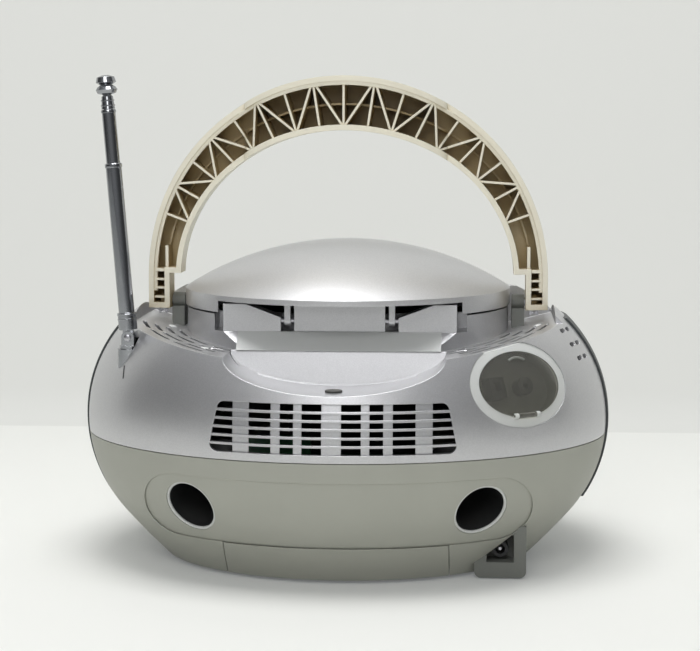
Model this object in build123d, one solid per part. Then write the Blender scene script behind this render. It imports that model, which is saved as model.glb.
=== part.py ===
from build123d import *
import os
from math import asin, atan2, cos, degrees, pi, radians, sin, sqrt

# A portable radio with a compact disc player and a cassette deck, in millimetres.
# The rear, with its vent, ports and mains inlet, faces +Y. The loudspeakers face -Y. +Z is up.
# The origin is on the table, under the middle of the body.

# Body: a pebble whose side outline is one belly arc, squeezed front to back
BODY_HALF_W = 153.0
BODY_REAR = 125.0
BODY_FRONT = 141.0
BODY_Y = 8.0
BELLY_R = 82.0
BELLY_Z = 82.0
HEEL_Z = 28.0
SOLE_X = 108.0
SOLE_Z = 2.0
CROWN_Z = 155.0
WALL = 2.5
SEAM = 0.5
SEAM_DEEP = 1.2
PARTING_Z = 74.0
BORDER_Y = 23.0
FAR = 400.0

# Compact disc lid and the well under it
LID_R = 96.0
LID_RIM_Z = 157.0
LID_RISE = 28.0
LID_WALL = 2.4
SKIRT_Z = 147.5
LID_GAP = 1.2
WELL_Z = 138.0
WELL_R = 92.5
DISC_R = 61.5
HINGE_Y = 65.0
HINGE_Z = 143.0
HINGE_PIN_R = 1.8
ARM_X = 29.3
ARM_W = 3.4
BLOCK_IN = 33.0
BLOCK_OUT = 65.5
BLOCK_TOP = 152.5
BLOCK_LOW = 145.0
BLOCK_FACE_Y = 68.5
BLOCK_DEPTH = 14.0
HINGE_PIN_X = 40.0
PANEL_X = 25.5
LINER_Z = 149.5
LINER_T = 1.6
LINER_BACK_Y = 44.0
CLAMP_R = 13.0
CLAMP_NECK_R = 8.0
HUB_HOLE_R = 3.0
SPINDLE_R = 2.95
MOTOR_R = 12.0
PICKUP_MID = 38.0
PICKUP_RUN = 28.0
PICKUP_HALF = 6.5
LID_NOTCH_X = 68.5
LID_NOTCH_Z = 154.0

# Deck round the lid, where the folded handle lands
DECK_MID_X = 60.0
DECK_MID_Z = 127.6
DECK_OUT_X = 122.0
DECK_OUT_Z = 139.0
DECK_SAG = 1.4
DECK_START_Y = 34.0
POCKET_X = 121.5
POCKET_Y = -30.0
BOWL_Z = 109.5
BOWL_Y = 82.0
BOWL_DRAFT = 12.0
BAY_R = 65.5
BAY_Y = 45.0
RAMP_X = 71.0
RAMP_Z = 137.0
RAMP_TOP_Y = 69.0
RAMP_FOOT_Y = 80.0
RIDGE = 0.6
RIDGE_X = 44.0
RIDGE_STEPS = (2.5, 5.5)
PAD_Y = 112.0
PAD_R = 4.7
PAD_SUNK = 1.0
PAD_PROUD = 1.0

# Folding handle
PIVOT_Z = 148.0
PIVOT_R = 2.6
RUN = 0.05
ARCH_Z = 162.0
ARCH_OUT = 118.0
ARCH_IN_X = 98.0
ARCH_IN_Z = 87.0
HANDLE_WALL = 3.2
HANDLE_BACK = 2.2
LEG_FOOT_Z = 144.0
LEG_IN = 105.0
LEG_STEP_Z = 165.0
LEG_FRONT = 10.0
GRIP_FRONT = 8.0
LEG_POST_TOP = 181.0
LEG_RUNGS = (150.5, 156.0, 161.0)
FOOT_SWING = 12.3
PIN_END = 111.5
EAR_IN = 97.0
EAR_OUT = 104.4
EAR_HALF = 7.0
REST_GAP = 1.2
RIB = 1.3
RIB_DROP = 1.0
SPINE_DROP = 12.0
INNER_NODES = 9
NODE_PITCH = 17.6
EYE_R = 4.4

# Telescopic antenna
ANT_X = 119.5
ANT_Y = 66.0
ANT_FOOT_Z = 112.0
ANT_RIM_Z = 126.5
ANT_PIN_Z = 133.0
ANT_LEAN = 4.4
ANT_SOCKET_R = 6.4
ANT_SOCKET_WALL = 1.2
TUBE_R = (4.45, 3.85, 2.6)
TUBE_TOP = (98.0, 128.0, 136.0)
TUBE_FOOT = (7.0, 34.0, 50.0)
KNOB_R = 6.1
KNOB_TOP = 147.0
ANT_PIN_R = 1.2
TONGUE = 1.4

# Vents
SLOT_ROWS = (101.0, 107.5, 114.0, 120.5)
SLOT_W = 2.4
SLOT_SECTORS = ((18.0, 27.0), (30.5, 42.0), (45.5, 57.0))
SHOULDER_SLOT = (7.0, 2.6)
REAR_VENT_TOP = 105.5
REAR_VENT_LOW = 78.5
REAR_VENT_TOP_X = 61.5
REAR_VENT_LOW_X = 67.0
VENT_ROWS = 6
FIN = 1.3
VENT_RIM = 1.2
FIN_DEEP = 2.2
BAR_DEEP = 3.6
VENT_BARS = ((-49.0, 9.0), (-30.0, 5.0), (-18.0, 4.5), (0.0, 10.5), (18.0, 4.5), (30.0, 5.0), (49.0, 9.0))

# Lower rear: band, ports, battery door and mains inlet
BAND_X = 108.0
BAND_LOW = 24.0
BAND_TOP = 63.0
BAND_DEEP = 0.7
PORT_X = 80.0
PORT_Z = 43.5
PORT_R = 14.6
PORT_WALL = 1.3
PORT_LEN = 45.0
DOOR_X = 62.0
DOOR_TOP = 23.6
DOOR_Y = 20.0
INLET_X = 90.5
INLET_HALF = 14.5
INLET_BACK = 79.0
INLET_DEEP = 34.0
INLET_TOP = 30.0
INLET_FOOT_Z = 0.6
SOCKET_HALF = 7.6
SOCKET_DEEP = 15.0
SOCKET_LOW = 9.5
SOCKET_TOP = 25.0
INLET_PIN_Z = 16.0

FOOT_R = 5.5
FOOT_SUNK = 0.8
POST_R = 3.0
BOARD_Z = 46.0
POSTS = ((72.0, 36.0), (-72.0, 36.0), (72.0, -36.0), (-72.0, -36.0))
FOOT_X = 69.5
FEET = ((FOOT_X, 40.0), (-FOOT_X, 40.0), (FOOT_X - 12, -36.0), (12 - FOOT_X, -36.0))

# Jack cover on the shoulder over the mains inlet
JACK_X = -101.5
JACK_Z = 113.0
JACK_W = 54.0
JACK_H = 36.0
JACK_RING = 6.0
JACK_LENS = 1.8
JACK_DEEP = 16.0
JACK_SEAT = 3.4
JACK_PIN_UP = 0.6
JACK_PIN_IN = 2.0
JACK_PIN_R = 0.8
JACK_PIN_HALF = 8.6
JACK_BARREL_R = 1.5
JACK_BARREL_HALF = 6.0

# Front: loudspeakers, display, cassette door and keys
COLUMN_X = 52.0
FRONT_LOW = 36.0
BROW_Z = 141.0
GRILLE_PROUD = 1.2
GRILLE_WALL = 1.8
GRILLE_ROWS = 10
GRILLE_PITCH = 7.6
GRILLE_SLOT = 3.8
GRILLE_SPANS = ((57.0, 84.0), (88.0, 113.0), (117.0, 138.0))
GRILLE_SIDE_Y = -2.0
SPEAKER_X = 92.0
SPEAKER_Z = 88.0
SPEAKER_R = 38.0
SPEAKER_BACK = 14.5
DOOR_HALF = 41.0
TAPE_LOW = 38.0
TAPE_TOP = 84.0
TAPE_BACK = -102.0
WELL_CLEAR = 0.6
SPINDLE_X = 21.25
SPINDLE_Z = 62.0
KEY_N = 5
KEY_Z = (87.0, 95.0)
KEY_PITCH = 16.0
DISPLAY_Z = (99.0, 115.0)
DISPLAY_X = 36.0
BUTTON_Z = 128.0
BUTTON_X = (-39.0, -25.0, 25.0, 39.0)
BUTTON_R = 5.0
DIAL_R = 12.0
DIAL_H = 9.0
DIAL_SHAFT_R = 3.0
DIAL_FLUTES = 16
DISPLAY_BACK = -112.0
BOARD_POST_X = 44.0
BOARD_POST_Z = (92.0, 116.0)
OPEN_Z = 147.0
OPEN_SIZE = (26.0, 6.0)
KEY_PROUD = 1.0
DIAL_GAP = 0.5
FIT = 0.35

OUT = "parts"
os.makedirs(OUT, exist_ok=True)
SIDES = (("left", 1), ("right", -1))


def save(name, shape):
    """Write one piece as a single STEP file."""
    solids = list(shape.solids()) if hasattr(shape, "solids") else [shape]
    piece = solids[0] if len(solids) == 1 else Compound(children=solids)
    export_step(piece, os.path.join(OUT, name + ".step"))


def box(x0, x1, y0, y1, z0, z1):
    """A box between two corners."""
    return Pos((x0 + x1) / 2, (y0 + y1) / 2, (z0 + z1) / 2) * Box(x1 - x0, y1 - y0, z1 - z0)


def rod(r, start, end):
    """A round bar from one point to another."""
    way = Vector(*end) - Vector(*start)
    return extrude(Plane(origin=start, z_dir=way) * Circle(r), way.length)


def tube(r, wall, start, end):
    """A round pipe from one point to another."""
    way = Vector(*end) - Vector(*start)
    return extrude(Plane(origin=start, z_dir=way) * (Circle(r) - Circle(r - wall)), way.length)


def mirrored(shape, side):
    """The shape itself on the +X side, or its mirror image on the -X side."""
    return shape if side > 0 else mirror(shape, Plane.YZ)


# Body form

def belly_x(z, wall=0.0):
    """Half-width of the body at a height, at its widest section."""
    r = BELLY_R - wall
    return BODY_HALF_W - BELLY_R + sqrt(max(r * r - (z - BELLY_Z) ** 2, 0.0))


def surface_y(x, z, side=1):
    """Where the outside of the body lies, behind (side 1) or in front (side -1)."""
    depth = BODY_REAR if side > 0 else BODY_FRONT
    return BODY_Y + side * depth / BODY_HALF_W * sqrt(max(belly_x(z) ** 2 - x * x, 0.0))


def half_form(wall, depth):
    """A whole pebble of one depth, shrunk by a wall all round."""
    top, sole = CROWN_Z - wall, SOLE_Z + wall
    tilt = asin((BELLY_Z - HEEL_Z) / BELLY_R)
    heel_r = BELLY_R - wall
    heel = (BODY_HALF_W - BELLY_R + heel_r * cos(tilt), BELLY_Z - heel_r * sin(tilt))
    waist = (BODY_HALF_W - wall, BELLY_Z)
    shoulder = (belly_x(top, wall), top)
    with BuildSketch(Plane.XZ) as section:
        with BuildLine():
            Line((0, sole), (SOLE_X, sole))
            TangentArc(heel, (SOLE_X, sole), tangent=(-sin(tilt), -cos(tilt)))
            ThreePointArc(heel, waist, shoulder)
            Line(shoulder, (0, top))
            Line((0, top), (0, sole))
        make_face()
    squeeze = (depth - wall) / (BODY_HALF_W - wall)
    return scale(revolve(section.sketch, Axis.Z), by=(1, squeeze, 1))


def body_form(wall=0.0):
    """The body, with its own depth behind and in front of its widest section."""
    rear = half_form(wall, BODY_REAR) & box(-FAR, FAR, 0, FAR, -FAR, FAR)
    front = half_form(wall, BODY_FRONT) & box(-FAR, FAR, -FAR, 0, -FAR, FAR)
    return Pos(0, BODY_Y, 0) * (rear + front)


OUTSIDE = body_form()
INSIDE = body_form(WALL)


# Deck, bowl and lid well, cut from the top of the body

def deck_z(x):
    """Height of the deck at a distance from the middle."""
    share = (abs(x) - DECK_MID_X) / (DECK_OUT_X - DECK_MID_X)
    line = DECK_MID_Z + share * (DECK_OUT_Z - DECK_MID_Z)
    return line - 4 * DECK_SAG * share * (1 - share)


def deck_edge(drop=0.0):
    """The deck's line across the body, level in the middle and rising to its sides."""
    middle = (DECK_MID_X + DECK_OUT_X) / 2
    return (
        Line((-FAR, DECK_OUT_Z - drop), (-DECK_OUT_X, DECK_OUT_Z - drop))
        + ThreePointArc(
            (-DECK_OUT_X, DECK_OUT_Z - drop),
            (-middle, deck_z(middle) - drop),
            (-DECK_MID_X, DECK_MID_Z - drop),
        )
        + Line((-DECK_MID_X, DECK_MID_Z - drop), (DECK_MID_X, DECK_MID_Z - drop))
        + ThreePointArc(
            (DECK_MID_X, DECK_MID_Z - drop),
            (middle, deck_z(middle) - drop),
            (DECK_OUT_X, DECK_OUT_Z - drop),
        )
        + Line((DECK_OUT_X, DECK_OUT_Z - drop), (FAR, DECK_OUT_Z - drop))
    )


def above_deck(y0, y1, drop=0.0):
    """Everything above the deck between two places front to back."""
    roof = Polyline((FAR, DECK_OUT_Z - drop), (FAR, FAR), (-FAR, FAR), (-FAR, DECK_OUT_Z - drop))
    face = make_face(Plane.XZ * (deck_edge(drop) + roof))
    return extrude(Pos(0, y0, 0) * face, y1 - y0, dir=(0, 1, 0))


def bowl(drop=0.0):
    """The finger bowl behind the deck: an oval trough with a sloping front face."""
    deep = DECK_MID_Z - BOWL_Z
    oval = Plane.XZ * Pos(0, DECK_MID_Z, 0) * Ellipse(DECK_MID_X + drop, deep + drop)
    trough = extrude(oval, FAR, dir=(0, 1, 0))
    face_y = BOWL_Y - drop
    ahead = Pos(0, face_y, BOWL_Z) * Rot(X=BOWL_DRAFT) * box(-FAR, FAR, 0, FAR, -FAR, FAR)
    return trough & ahead


def hinge_bay(drop=0.0):
    """The bay behind the lid, with a ramp down to the deck, where the lid's hinge stands."""
    x = RAMP_X + drop
    side = Polyline(
        (0, RAMP_Z - drop),
        (RAMP_TOP_Y - drop, RAMP_Z - drop),
        (RAMP_FOOT_Y - drop, DECK_MID_Z - drop),
        (RAMP_FOOT_Y - drop, FAR),
        (0, FAR),
        (0, RAMP_Z - drop),
    )
    face = make_face(Plane.YZ * side)
    wedge = extrude(Pos(-x, 0, 0) * face, 2 * x, dir=(1, 0, 0))
    bay = wedge & box(-x, x, BAY_Y - drop, FAR, 0, FAR)
    return bay - Cylinder(BAY_R - drop, 2 * (SKIRT_Z - LID_GAP))


def top_cut(drop=0.0):
    """All that is missing above the deck, sunk by a wall for the inside of the housing."""
    collar = rod(WELL_R + WALL - drop, (0, 0, 0), (0, 0, SKIRT_Z - LID_GAP - drop))
    collar -= box(-RAMP_X - drop, RAMP_X + drop, RAMP_FOOT_Y - drop, FAR, 0, FAR)
    pocket = above_deck(POCKET_Y - drop, DECK_START_Y, drop)
    pocket &= box(-POCKET_X - drop, POCKET_X + drop, -FAR, FAR, 0, FAR)
    open_sides = above_deck(DECK_START_Y - drop, FAR, drop)
    cut = (pocket + open_sides) - collar
    cut += rod(LID_R + LID_GAP + drop, (0, 0, SKIRT_Z - LID_GAP - drop), (0, 0, FAR))
    cut += hinge_bay(drop)
    return cut + bowl(drop)


def deck_vents():
    """Rows of curved slots round the lid, on both sides of the deck."""
    cuts = []
    for row, r in enumerate(SLOT_ROWS):
        for start, end in SLOT_SECTORS:
            shift = row * 1.6
            arc = CenterArc((0, 0), r, start - shift, end - start)
            slot = Pos(0, 0, DECK_MID_Z - 8) * SlotArc(arc, SLOT_W)
            cuts.append(extrude(slot, 24))
    cuts += [mirror(c, Plane.YZ) for c in cuts]
    return cuts


def shoulder_vents():
    """Two columns of three slots on the shoulder above the jack cover."""
    cuts = []
    for row in range(3):
        for column in range(2):
            z = 136.0 - 7.5 * row
            y = 44.0 - 8.5 * column + 1.5 * row
            reach = BODY_REAR / BODY_HALF_W * belly_x(z)
            x = -belly_x(z) * sqrt(max(1 - ((y - BODY_Y) / reach) ** 2, 0.0))
            slot = RectangleRounded(SHOULDER_SLOT[0], SHOULDER_SLOT[1], 1.2)
            plane = Plane(origin=(x, y, z), x_dir=(0.25, 1, 0), z_dir=(-1, 0.25, 0.55))
            cuts.append(extrude(plane * slot, 7, both=True))
    return cuts


# Where things sit on the rounded shell

def shell_plane(x, z, side=1):
    """A plane on the outside of the body, its Z pointing out."""
    y = surface_y(x, z, side)
    depth = BODY_REAR if side > 0 else BODY_FRONT
    slope = (z - BELLY_Z) / sqrt(BELLY_R**2 - (z - BELLY_Z) ** 2)
    half = belly_x(z)
    normal = Vector(x / half, (y - BODY_Y) / half * (BODY_HALF_W / depth) ** 2, slope)
    across = Vector(normal.Y, -normal.X, 0)
    return Plane(origin=(x, y, z), x_dir=across, z_dir=normal)


PORT_PLANES = {side: shell_plane(side * PORT_X, PORT_Z) for _, side in SIDES}
JACK_PLANE = shell_plane(JACK_X, JACK_Z)


def jack_zone(grow, deep, rise=6.0):
    """The oval of the jack cover, carried in and out along its own axis."""
    oval = Ellipse(JACK_W / 2 + grow, JACK_H / 2 + grow)
    return extrude(JACK_PLANE.offset(-deep) * oval, deep + rise)


def rear_vent_zone(grow=0.0):
    """The opening of the rear vent, wider at its foot."""
    outline = Polygon(
        (-REAR_VENT_LOW_X - grow, REAR_VENT_LOW - grow),
        (REAR_VENT_LOW_X + grow, REAR_VENT_LOW - grow),
        (REAR_VENT_TOP_X + grow, REAR_VENT_TOP + grow),
        (-REAR_VENT_TOP_X - grow, REAR_VENT_TOP + grow),
        align=None,
    )
    rounded = fillet(outline.vertices(), 4.0 + grow)
    return extrude(Plane.XZ * rounded, -FAR)


def band_zone():
    """The racetrack band round the two ports."""
    high = BAND_TOP - BAND_LOW
    track = Pos(0, (BAND_TOP + BAND_LOW) / 2) * SlotOverall(2 * BAND_X, high)
    return extrude(Plane.XZ * track, -FAR)


def door_zone(grow=0.0):
    """The battery door's share of the shell, low at the back."""
    x = DOOR_X + grow
    return box(-x, x, DOOR_Y - grow, FAR, -1, DOOR_TOP + grow)


def inlet_zone(grow=0.0):
    """The block that carries the mains inlet, standing below the shell."""
    x = -INLET_X
    block = box(
        x - INLET_HALF - grow,
        x + INLET_HALF + grow,
        INLET_BACK - INLET_DEEP - grow,
        INLET_BACK + grow,
        INLET_FOOT_Z - grow,
        INLET_TOP + grow,
    )
    return fillet(block.edges().filter_by(Axis.Y).sort_by(Axis.Z)[:2], 4.0)


DIAL_PLANE = shell_plane(0, BUTTON_Z, -1)
OPEN_PLANE = shell_plane(0, OPEN_Z, -1)
KEY_PLACES = [KEY_PITCH * (k - (KEY_N - 1) / 2) for k in range(KEY_N)]


def press_zone(plane, size, grow=0.0):
    """The room of a button, round or long, along its own axis through the shell."""
    if len(size) == 1:
        face = Circle(size[0] / 2 + grow)
    else:
        face = RectangleRounded(size[0] + 2 * grow, size[1] + 2 * grow, size[1] / 2 + grow - 0.01)
    return extrude(plane.offset(-8) * face, 16)


def key_zone(x, grow=0.0):
    """The room of one cassette key."""
    half = KEY_PITCH / 2 - 0.6 + grow
    return box(x - half, x + half, -FAR, 0, KEY_Z[0] - grow, KEY_Z[1] + grow)


def tape_zone(grow=0.0):
    """The room of the cassette door."""
    x = DOOR_HALF + grow
    return box(-x, x, -FAR, 0, TAPE_LOW - grow, TAPE_TOP + grow)


def display_zone(grow=0.0):
    """The room of the display window."""
    x = DISPLAY_X + grow
    return box(-x, x, -FAR, 0, DISPLAY_Z[0] - grow, DISPLAY_Z[1] + grow)


# Housing

def seam_slabs():
    """Thin slabs where the housing's shells meet."""
    half = SEAM / 2
    parting = box(-FAR, FAR, BORDER_Y, FAR, PARTING_Z - half, PARTING_Z + half)
    border = box(-FAR, FAR, BORDER_Y - half, BORDER_Y + half, FRONT_LOW, FAR)
    chin = box(-FAR, FAR, -FAR, BORDER_Y, FRONT_LOW - half, FRONT_LOW + half)
    brow = box(-FAR, FAR, -FAR, BORDER_Y, BROW_Z - half, BROW_Z + half)
    return parting + border + chin + brow


SKIN = OUTSIDE - body_form(SEAM_DEEP)
SHELL = (OUTSIDE - top_cut()) - (INSIDE - top_cut(WALL)) - (SKIN & seam_slabs())
CROWN = box(-POCKET_X - WALL, POCKET_X + WALL, POCKET_Y - WALL, BORDER_Y, DECK_MID_Z, FAR)
AHEAD = box(-FAR, FAR, -FAR, BORDER_Y, FRONT_LOW, BROW_Z) - CROWN
BELOW = box(-FAR, FAR, -FAR, FAR, -FAR, PARTING_Z)
COLUMN = box(-COLUMN_X, COLUMN_X, -FAR, BORDER_Y, -FAR, FAR)
LID_WELL = rod(WELL_R, (0, 0, WELL_Z - 10), (0, 0, FAR)) - box(
    -RAMP_X - WALL, RAMP_X + WALL, BAY_Y - WALL, FAR, 0, FAR
)
DISC_WELL = rod(BAY_R - WALL, (0, 0, WELL_Z - 10), (0, 0, FAR))


def lower_casing():
    """The lower shell, with the band, ports, battery opening and board posts."""
    cuts = [band_zone() & (OUTSIDE - body_form(BAND_DEEP)), door_zone(FIT), inlet_zone()]
    for plane in PORT_PLANES.values():
        cuts.append(extrude(plane.offset(-14) * Circle(PORT_R + PORT_WALL), 28))
        cuts.append(extrude(plane.offset(-1.4) * Circle(PORT_R + 2.2), 8, taper=-30))
    cuts += [rod(FOOT_R, (x, y, -1), (x, y, SOLE_Z + FOOT_SUNK)) for x, y in FEET]
    posts = [rod(POST_R, (x, y, SOLE_Z + WALL / 2), (x, y, BOARD_Z)) for x, y in POSTS]
    return ((SHELL & BELOW) - AHEAD) + posts - cuts


def upper_casing():
    """The silver upper shell with the deck, finger bowl, collar and vents."""
    cuts = [LID_WELL, DISC_WELL, rear_vent_zone()]
    cuts.append(jack_zone(JACK_RING, 14) & (OUTSIDE - body_form(JACK_SEAT)))
    cuts.append(rod(ANT_SOCKET_R, (ANT_X, ANT_Y, ANT_FOOT_Z - 2), (ANT_X, ANT_Y, FAR)))
    cuts.append(rod(PAD_R, (0, PAD_Y, BOWL_Z - PAD_SUNK), (0, PAD_Y, FAR)))
    cuts.append(press_zone(OPEN_PLANE, OPEN_SIZE, FIT))
    casing = (SHELL - BELOW) - AHEAD + bowl_ridges()
    return casing - (cuts + deck_vents() + shoulder_vents())


def bowl_ridges():
    """Two thin raised lines that follow the foot of the bowl's front face."""
    skin = bowl(WALL / 2) - bowl(-RIDGE)
    rings = []
    for step in RIDGE_STEPS:
        slab = box(-RIDGE_X, RIDGE_X, 0, RIDGE, -FAR, FAR)
        lean = Pos(0, BOWL_Y + step, BOWL_Z) * Rot(X=BOWL_DRAFT) * slab
        rings.append(skin & lean & box(-FAR, FAR, 0, FAR, BOWL_Z - 1, DECK_MID_Z - 3))
    return (rings[0] + rings[1]) & body_form(0.2)


def speaker_plane(side):
    """The plane of a loudspeaker's rim, behind its grille."""
    return shell_plane(side * SPEAKER_X, SPEAKER_Z, -1)


def front_panel():
    """The front shell: column for the controls, and baffles for the loudspeakers."""
    panel = SHELL & AHEAD
    panel -= (OUTSIDE - body_form(GRILLE_WALL - GRILLE_PROUD)) - COLUMN
    rims = []
    cuts = [tape_zone(FIT), display_zone(0.05)]
    for _, side in SIDES:
        plane = speaker_plane(side)
        ring = extrude(plane.offset(-SPEAKER_BACK) * Circle(SPEAKER_R + 3), SPEAKER_BACK + 5)
        rims.append(ring & body_form(GRILLE_WALL))
        cuts.append(extrude(plane.offset(-SPEAKER_BACK - 5) * Circle(SPEAKER_R), FAR))
    for x in (-BOARD_POST_X, BOARD_POST_X):
        for z in BOARD_POST_Z:
            rims.append(rod(2.5, (x, -FAR, z), (x, DISPLAY_BACK, z)) & body_form(WALL / 2))
    cuts += [key_zone(x, FIT) for x in KEY_PLACES]
    cuts += [press_zone(shell_plane(x, BUTTON_Z, -1), (2 * BUTTON_R,), FIT) for x in BUTTON_X]
    cuts.append(extrude(DIAL_PLANE.offset(-8) * Circle(DIAL_SHAFT_R + RUN), 16))
    return panel + rims - cuts


def speaker_grille(side):
    """One dark grille with rows of slots, standing a little proud of the shell."""
    curve = body_form(-GRILLE_PROUD) - body_form(GRILLE_WALL - GRILLE_PROUD)
    half = box(0, FAR, -FAR, FAR, 0, FAR) if side > 0 else box(-FAR, 0, -FAR, FAR, 0, FAR)
    grille = ((curve & AHEAD) & half) - COLUMN
    first = SPEAKER_Z - (GRILLE_ROWS - 1) / 2 * GRILLE_PITCH
    slots = [seam_slabs()]
    for row in range(GRILLE_ROWS):
        z = first + row * GRILLE_PITCH
        for start, end in GRILLE_SPANS:
            x0, x1 = sorted((side * start, side * end))
            slots.append(box(x0, x1, -FAR, GRILLE_SIDE_Y, z - GRILLE_SLOT / 2, z + GRILLE_SLOT / 2))
    return grille - slots


def speaker_frame(side):
    """Pressed frame with the magnet on its back."""
    with BuildSketch(Plane.XZ) as half:
        with BuildLine():
            Polyline(
                (SPEAKER_R - 5, 0), (SPEAKER_R + 2.5, 0), (SPEAKER_R + 2.5, -1.6), (SPEAKER_R - 3, -1.6),
                (18, -20), (18, -22), (24, -22), (24, -36), (0, -36), (0, -19),
                (14, -19), (SPEAKER_R - 6.5, -1.6), (SPEAKER_R - 5, 0),
            )
        make_face()
    return speaker_plane(side).offset(-SPEAKER_BACK) * revolve(half.sketch, Axis.Z)


def speaker_cone(side):
    """Paper cone with its roll surround and dust cap, inside the frame."""
    with BuildSketch(Plane.XZ) as half:
        with BuildLine():
            Line((0, -9.0), (0, -8.0))
            ThreePointArc((0, -8.0), (6.5, -9.4), (11.5, -13.0))
            Line((11.5, -13.0), (SPEAKER_R - 10.5, -0.8))
            ThreePointArc((SPEAKER_R - 10.5, -0.8), (SPEAKER_R - 7.6, 1.6), (SPEAKER_R - 5, 0.6))
            Line((SPEAKER_R - 5, 0.6), (SPEAKER_R - 5, 0.0))
            Line((SPEAKER_R - 5, 0.0), (SPEAKER_R - 10.5, -2.0))
            Line((SPEAKER_R - 10.5, -2.0), (11.5, -14.4))
            Line((11.5, -14.4), (0, -9.0))
        make_face()
    return speaker_plane(side).offset(-SPEAKER_BACK) * revolve(half.sketch, Axis.Z)


def reflex_port(side):
    """A port tube, flared a little at its mouth, square to the shell."""
    plane = PORT_PLANES[side]
    pipe = extrude(plane.offset(-PORT_LEN) * Circle(PORT_R + PORT_WALL), PORT_LEN + 6)
    pipe -= extrude(plane.offset(-PORT_LEN - 1) * Circle(PORT_R), PORT_LEN + 8)
    return pipe & body_form(1.5)


def rear_grille():
    """Thin fins that follow the shell, tied by upright bars set behind them."""
    pitch = (REAR_VENT_TOP - REAR_VENT_LOW) / VENT_ROWS
    opening = rear_vent_zone()
    rows = [REAR_VENT_LOW + pitch * k for k in range(1, VENT_ROWS)]
    front = (body_form(0.3) - body_form(FIN_DEEP)) & opening
    back = (body_form(FIN_DEEP - 0.4) - body_form(BAR_DEEP)) & opening
    rim = (body_form(WALL) - body_form(BAR_DEEP)) & (rear_vent_zone(VENT_RIM) - opening)
    fins = [front & box(-FAR, FAR, 0, FAR, z - FIN / 2, z + FIN / 2) for z in rows]
    bars = [back & box(x - w / 2, x + w / 2, 0, FAR, 0, FAR) for x, w in VENT_BARS]
    return rim + (bars + fins)


# Compact disc player

def cd_tray():
    """The moulded well floor: a rim, a step down to the disc and a slot for the lens."""
    with BuildSketch(Plane.XZ) as half:
        with BuildLine():
            Polyline(
                (HUB_HOLE_R, WELL_Z - 4), (DISC_R - 1, WELL_Z - 4), (DISC_R + 1, WELL_Z), (WELL_R, WELL_Z),
                (WELL_R, WELL_Z - 2), (DISC_R + 3, WELL_Z - 2), (DISC_R + 1, WELL_Z - 6),
                (MOTOR_R, WELL_Z - 6), (MOTOR_R, WELL_Z - 20), (HUB_HOLE_R, WELL_Z - 20),
                (HUB_HOLE_R, WELL_Z - 4),
            )
        make_face()
    tray = revolve(half.sketch, Axis.Z)
    tray -= box(-FAR, FAR, BAY_Y - WALL, FAR, 0, FAR) - rod(BAY_R - WALL, (0, 0, 0), (0, 0, FAR))
    slot = SlotCenterToCenter(PICKUP_RUN, 2 * PICKUP_HALF)
    track = Pos(-PICKUP_MID, 0, WELL_Z - 8) * slot
    return tray - extrude(track, 8)


def turntable():
    """The hub that the disc sits on, running in the tray's middle."""
    with BuildSketch(Plane.XZ) as half:
        with BuildLine():
            Polyline(
                (0, WELL_Z - 19), (SPINDLE_R, WELL_Z - 19), (SPINDLE_R, WELL_Z - 3.2), (14, WELL_Z - 3.2),
                (14, WELL_Z - 1.6), (7.4, WELL_Z - 1.6), (7.4, WELL_Z - 0.2), (5, WELL_Z + 1.4), (0, WELL_Z + 1.4),
                (0, WELL_Z - 19),
            )
        make_face()
    return revolve(half.sketch, Axis.Z)


def pickup():
    """The lens block that runs along the slot."""
    x = PICKUP_RUN / 2 - PICKUP_MID
    block = box(x - 5, x + 5, FIT - PICKUP_HALF, PICKUP_HALF - FIT, WELL_Z - 10, WELL_Z - 6 - FIT)
    return block + rod(2.5, (x, 0, WELL_Z - 7), (x, 0, WELL_Z - 3.4))


def dome(shrink=0.0):
    """The lid's domed form over its rim."""
    radius = (LID_R**2 + LID_RISE**2) / (2 * LID_RISE)
    edge = LID_R - shrink
    top = LID_RIM_Z + LID_RISE - shrink
    rim = LID_RIM_Z + LID_RISE - radius + sqrt((radius - shrink) ** 2 - edge**2)
    half_way = edge / 2
    middle = LID_RIM_Z + LID_RISE - radius + sqrt((radius - shrink) ** 2 - half_way**2)
    with BuildSketch(Plane.XZ) as half:
        with BuildLine():
            Line((0, SKIRT_Z - shrink), (edge, SKIRT_Z - shrink))
            Line((edge, SKIRT_Z - shrink), (edge, rim))
            ThreePointArc((edge, rim), (half_way, middle), (0, top))
            Line((0, top), (0, SKIRT_Z - shrink))
        make_face()
    return revolve(half.sketch, Axis.Z)


def lid():
    """The disc lid: a domed shell, cut away over the hinge, with two hinge arms."""
    shell = dome() - dome(LID_WALL)
    shell -= box(-LID_NOTCH_X, LID_NOTCH_X, 40, FAR, 0, LID_NOTCH_Z)
    for _, side in SIDES:
        x = side * ARM_X
        arm = box(x - ARM_W / 2, x + ARM_W / 2, HINGE_Y - 3.2, HINGE_Y + 3.2, HINGE_Z, FAR)
        arm += rod(3.2, (x - ARM_W / 2, HINGE_Y, HINGE_Z), (x + ARM_W / 2, HINGE_Y, HINGE_Z))
        shell += arm & (dome(LID_WALL / 2) + box(-FAR, FAR, 0, FAR, 0, SKIRT_Z + 2))
        bore = rod(HINGE_PIN_R + RUN, (x - ARM_W, HINGE_Y, HINGE_Z), (x + ARM_W, HINGE_Y, HINGE_Z))
        shell -= bore
    return shell


def lid_liner():
    """The flat panel inside the lid that holds the disc clamp."""
    plate = rod(LID_R - LID_WALL, (0, 0, LINER_Z), (0, 0, LINER_Z + LINER_T))
    plate &= box(-FAR, FAR, -FAR, LINER_BACK_Y, 0, FAR)
    collar = rod(CLAMP_R + 3, (0, 0, LINER_Z), (0, 0, LINER_Z + 5))
    return (plate + collar) - rod(CLAMP_NECK_R + 0.4, (0, 0, 0), (0, 0, FAR))


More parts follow.
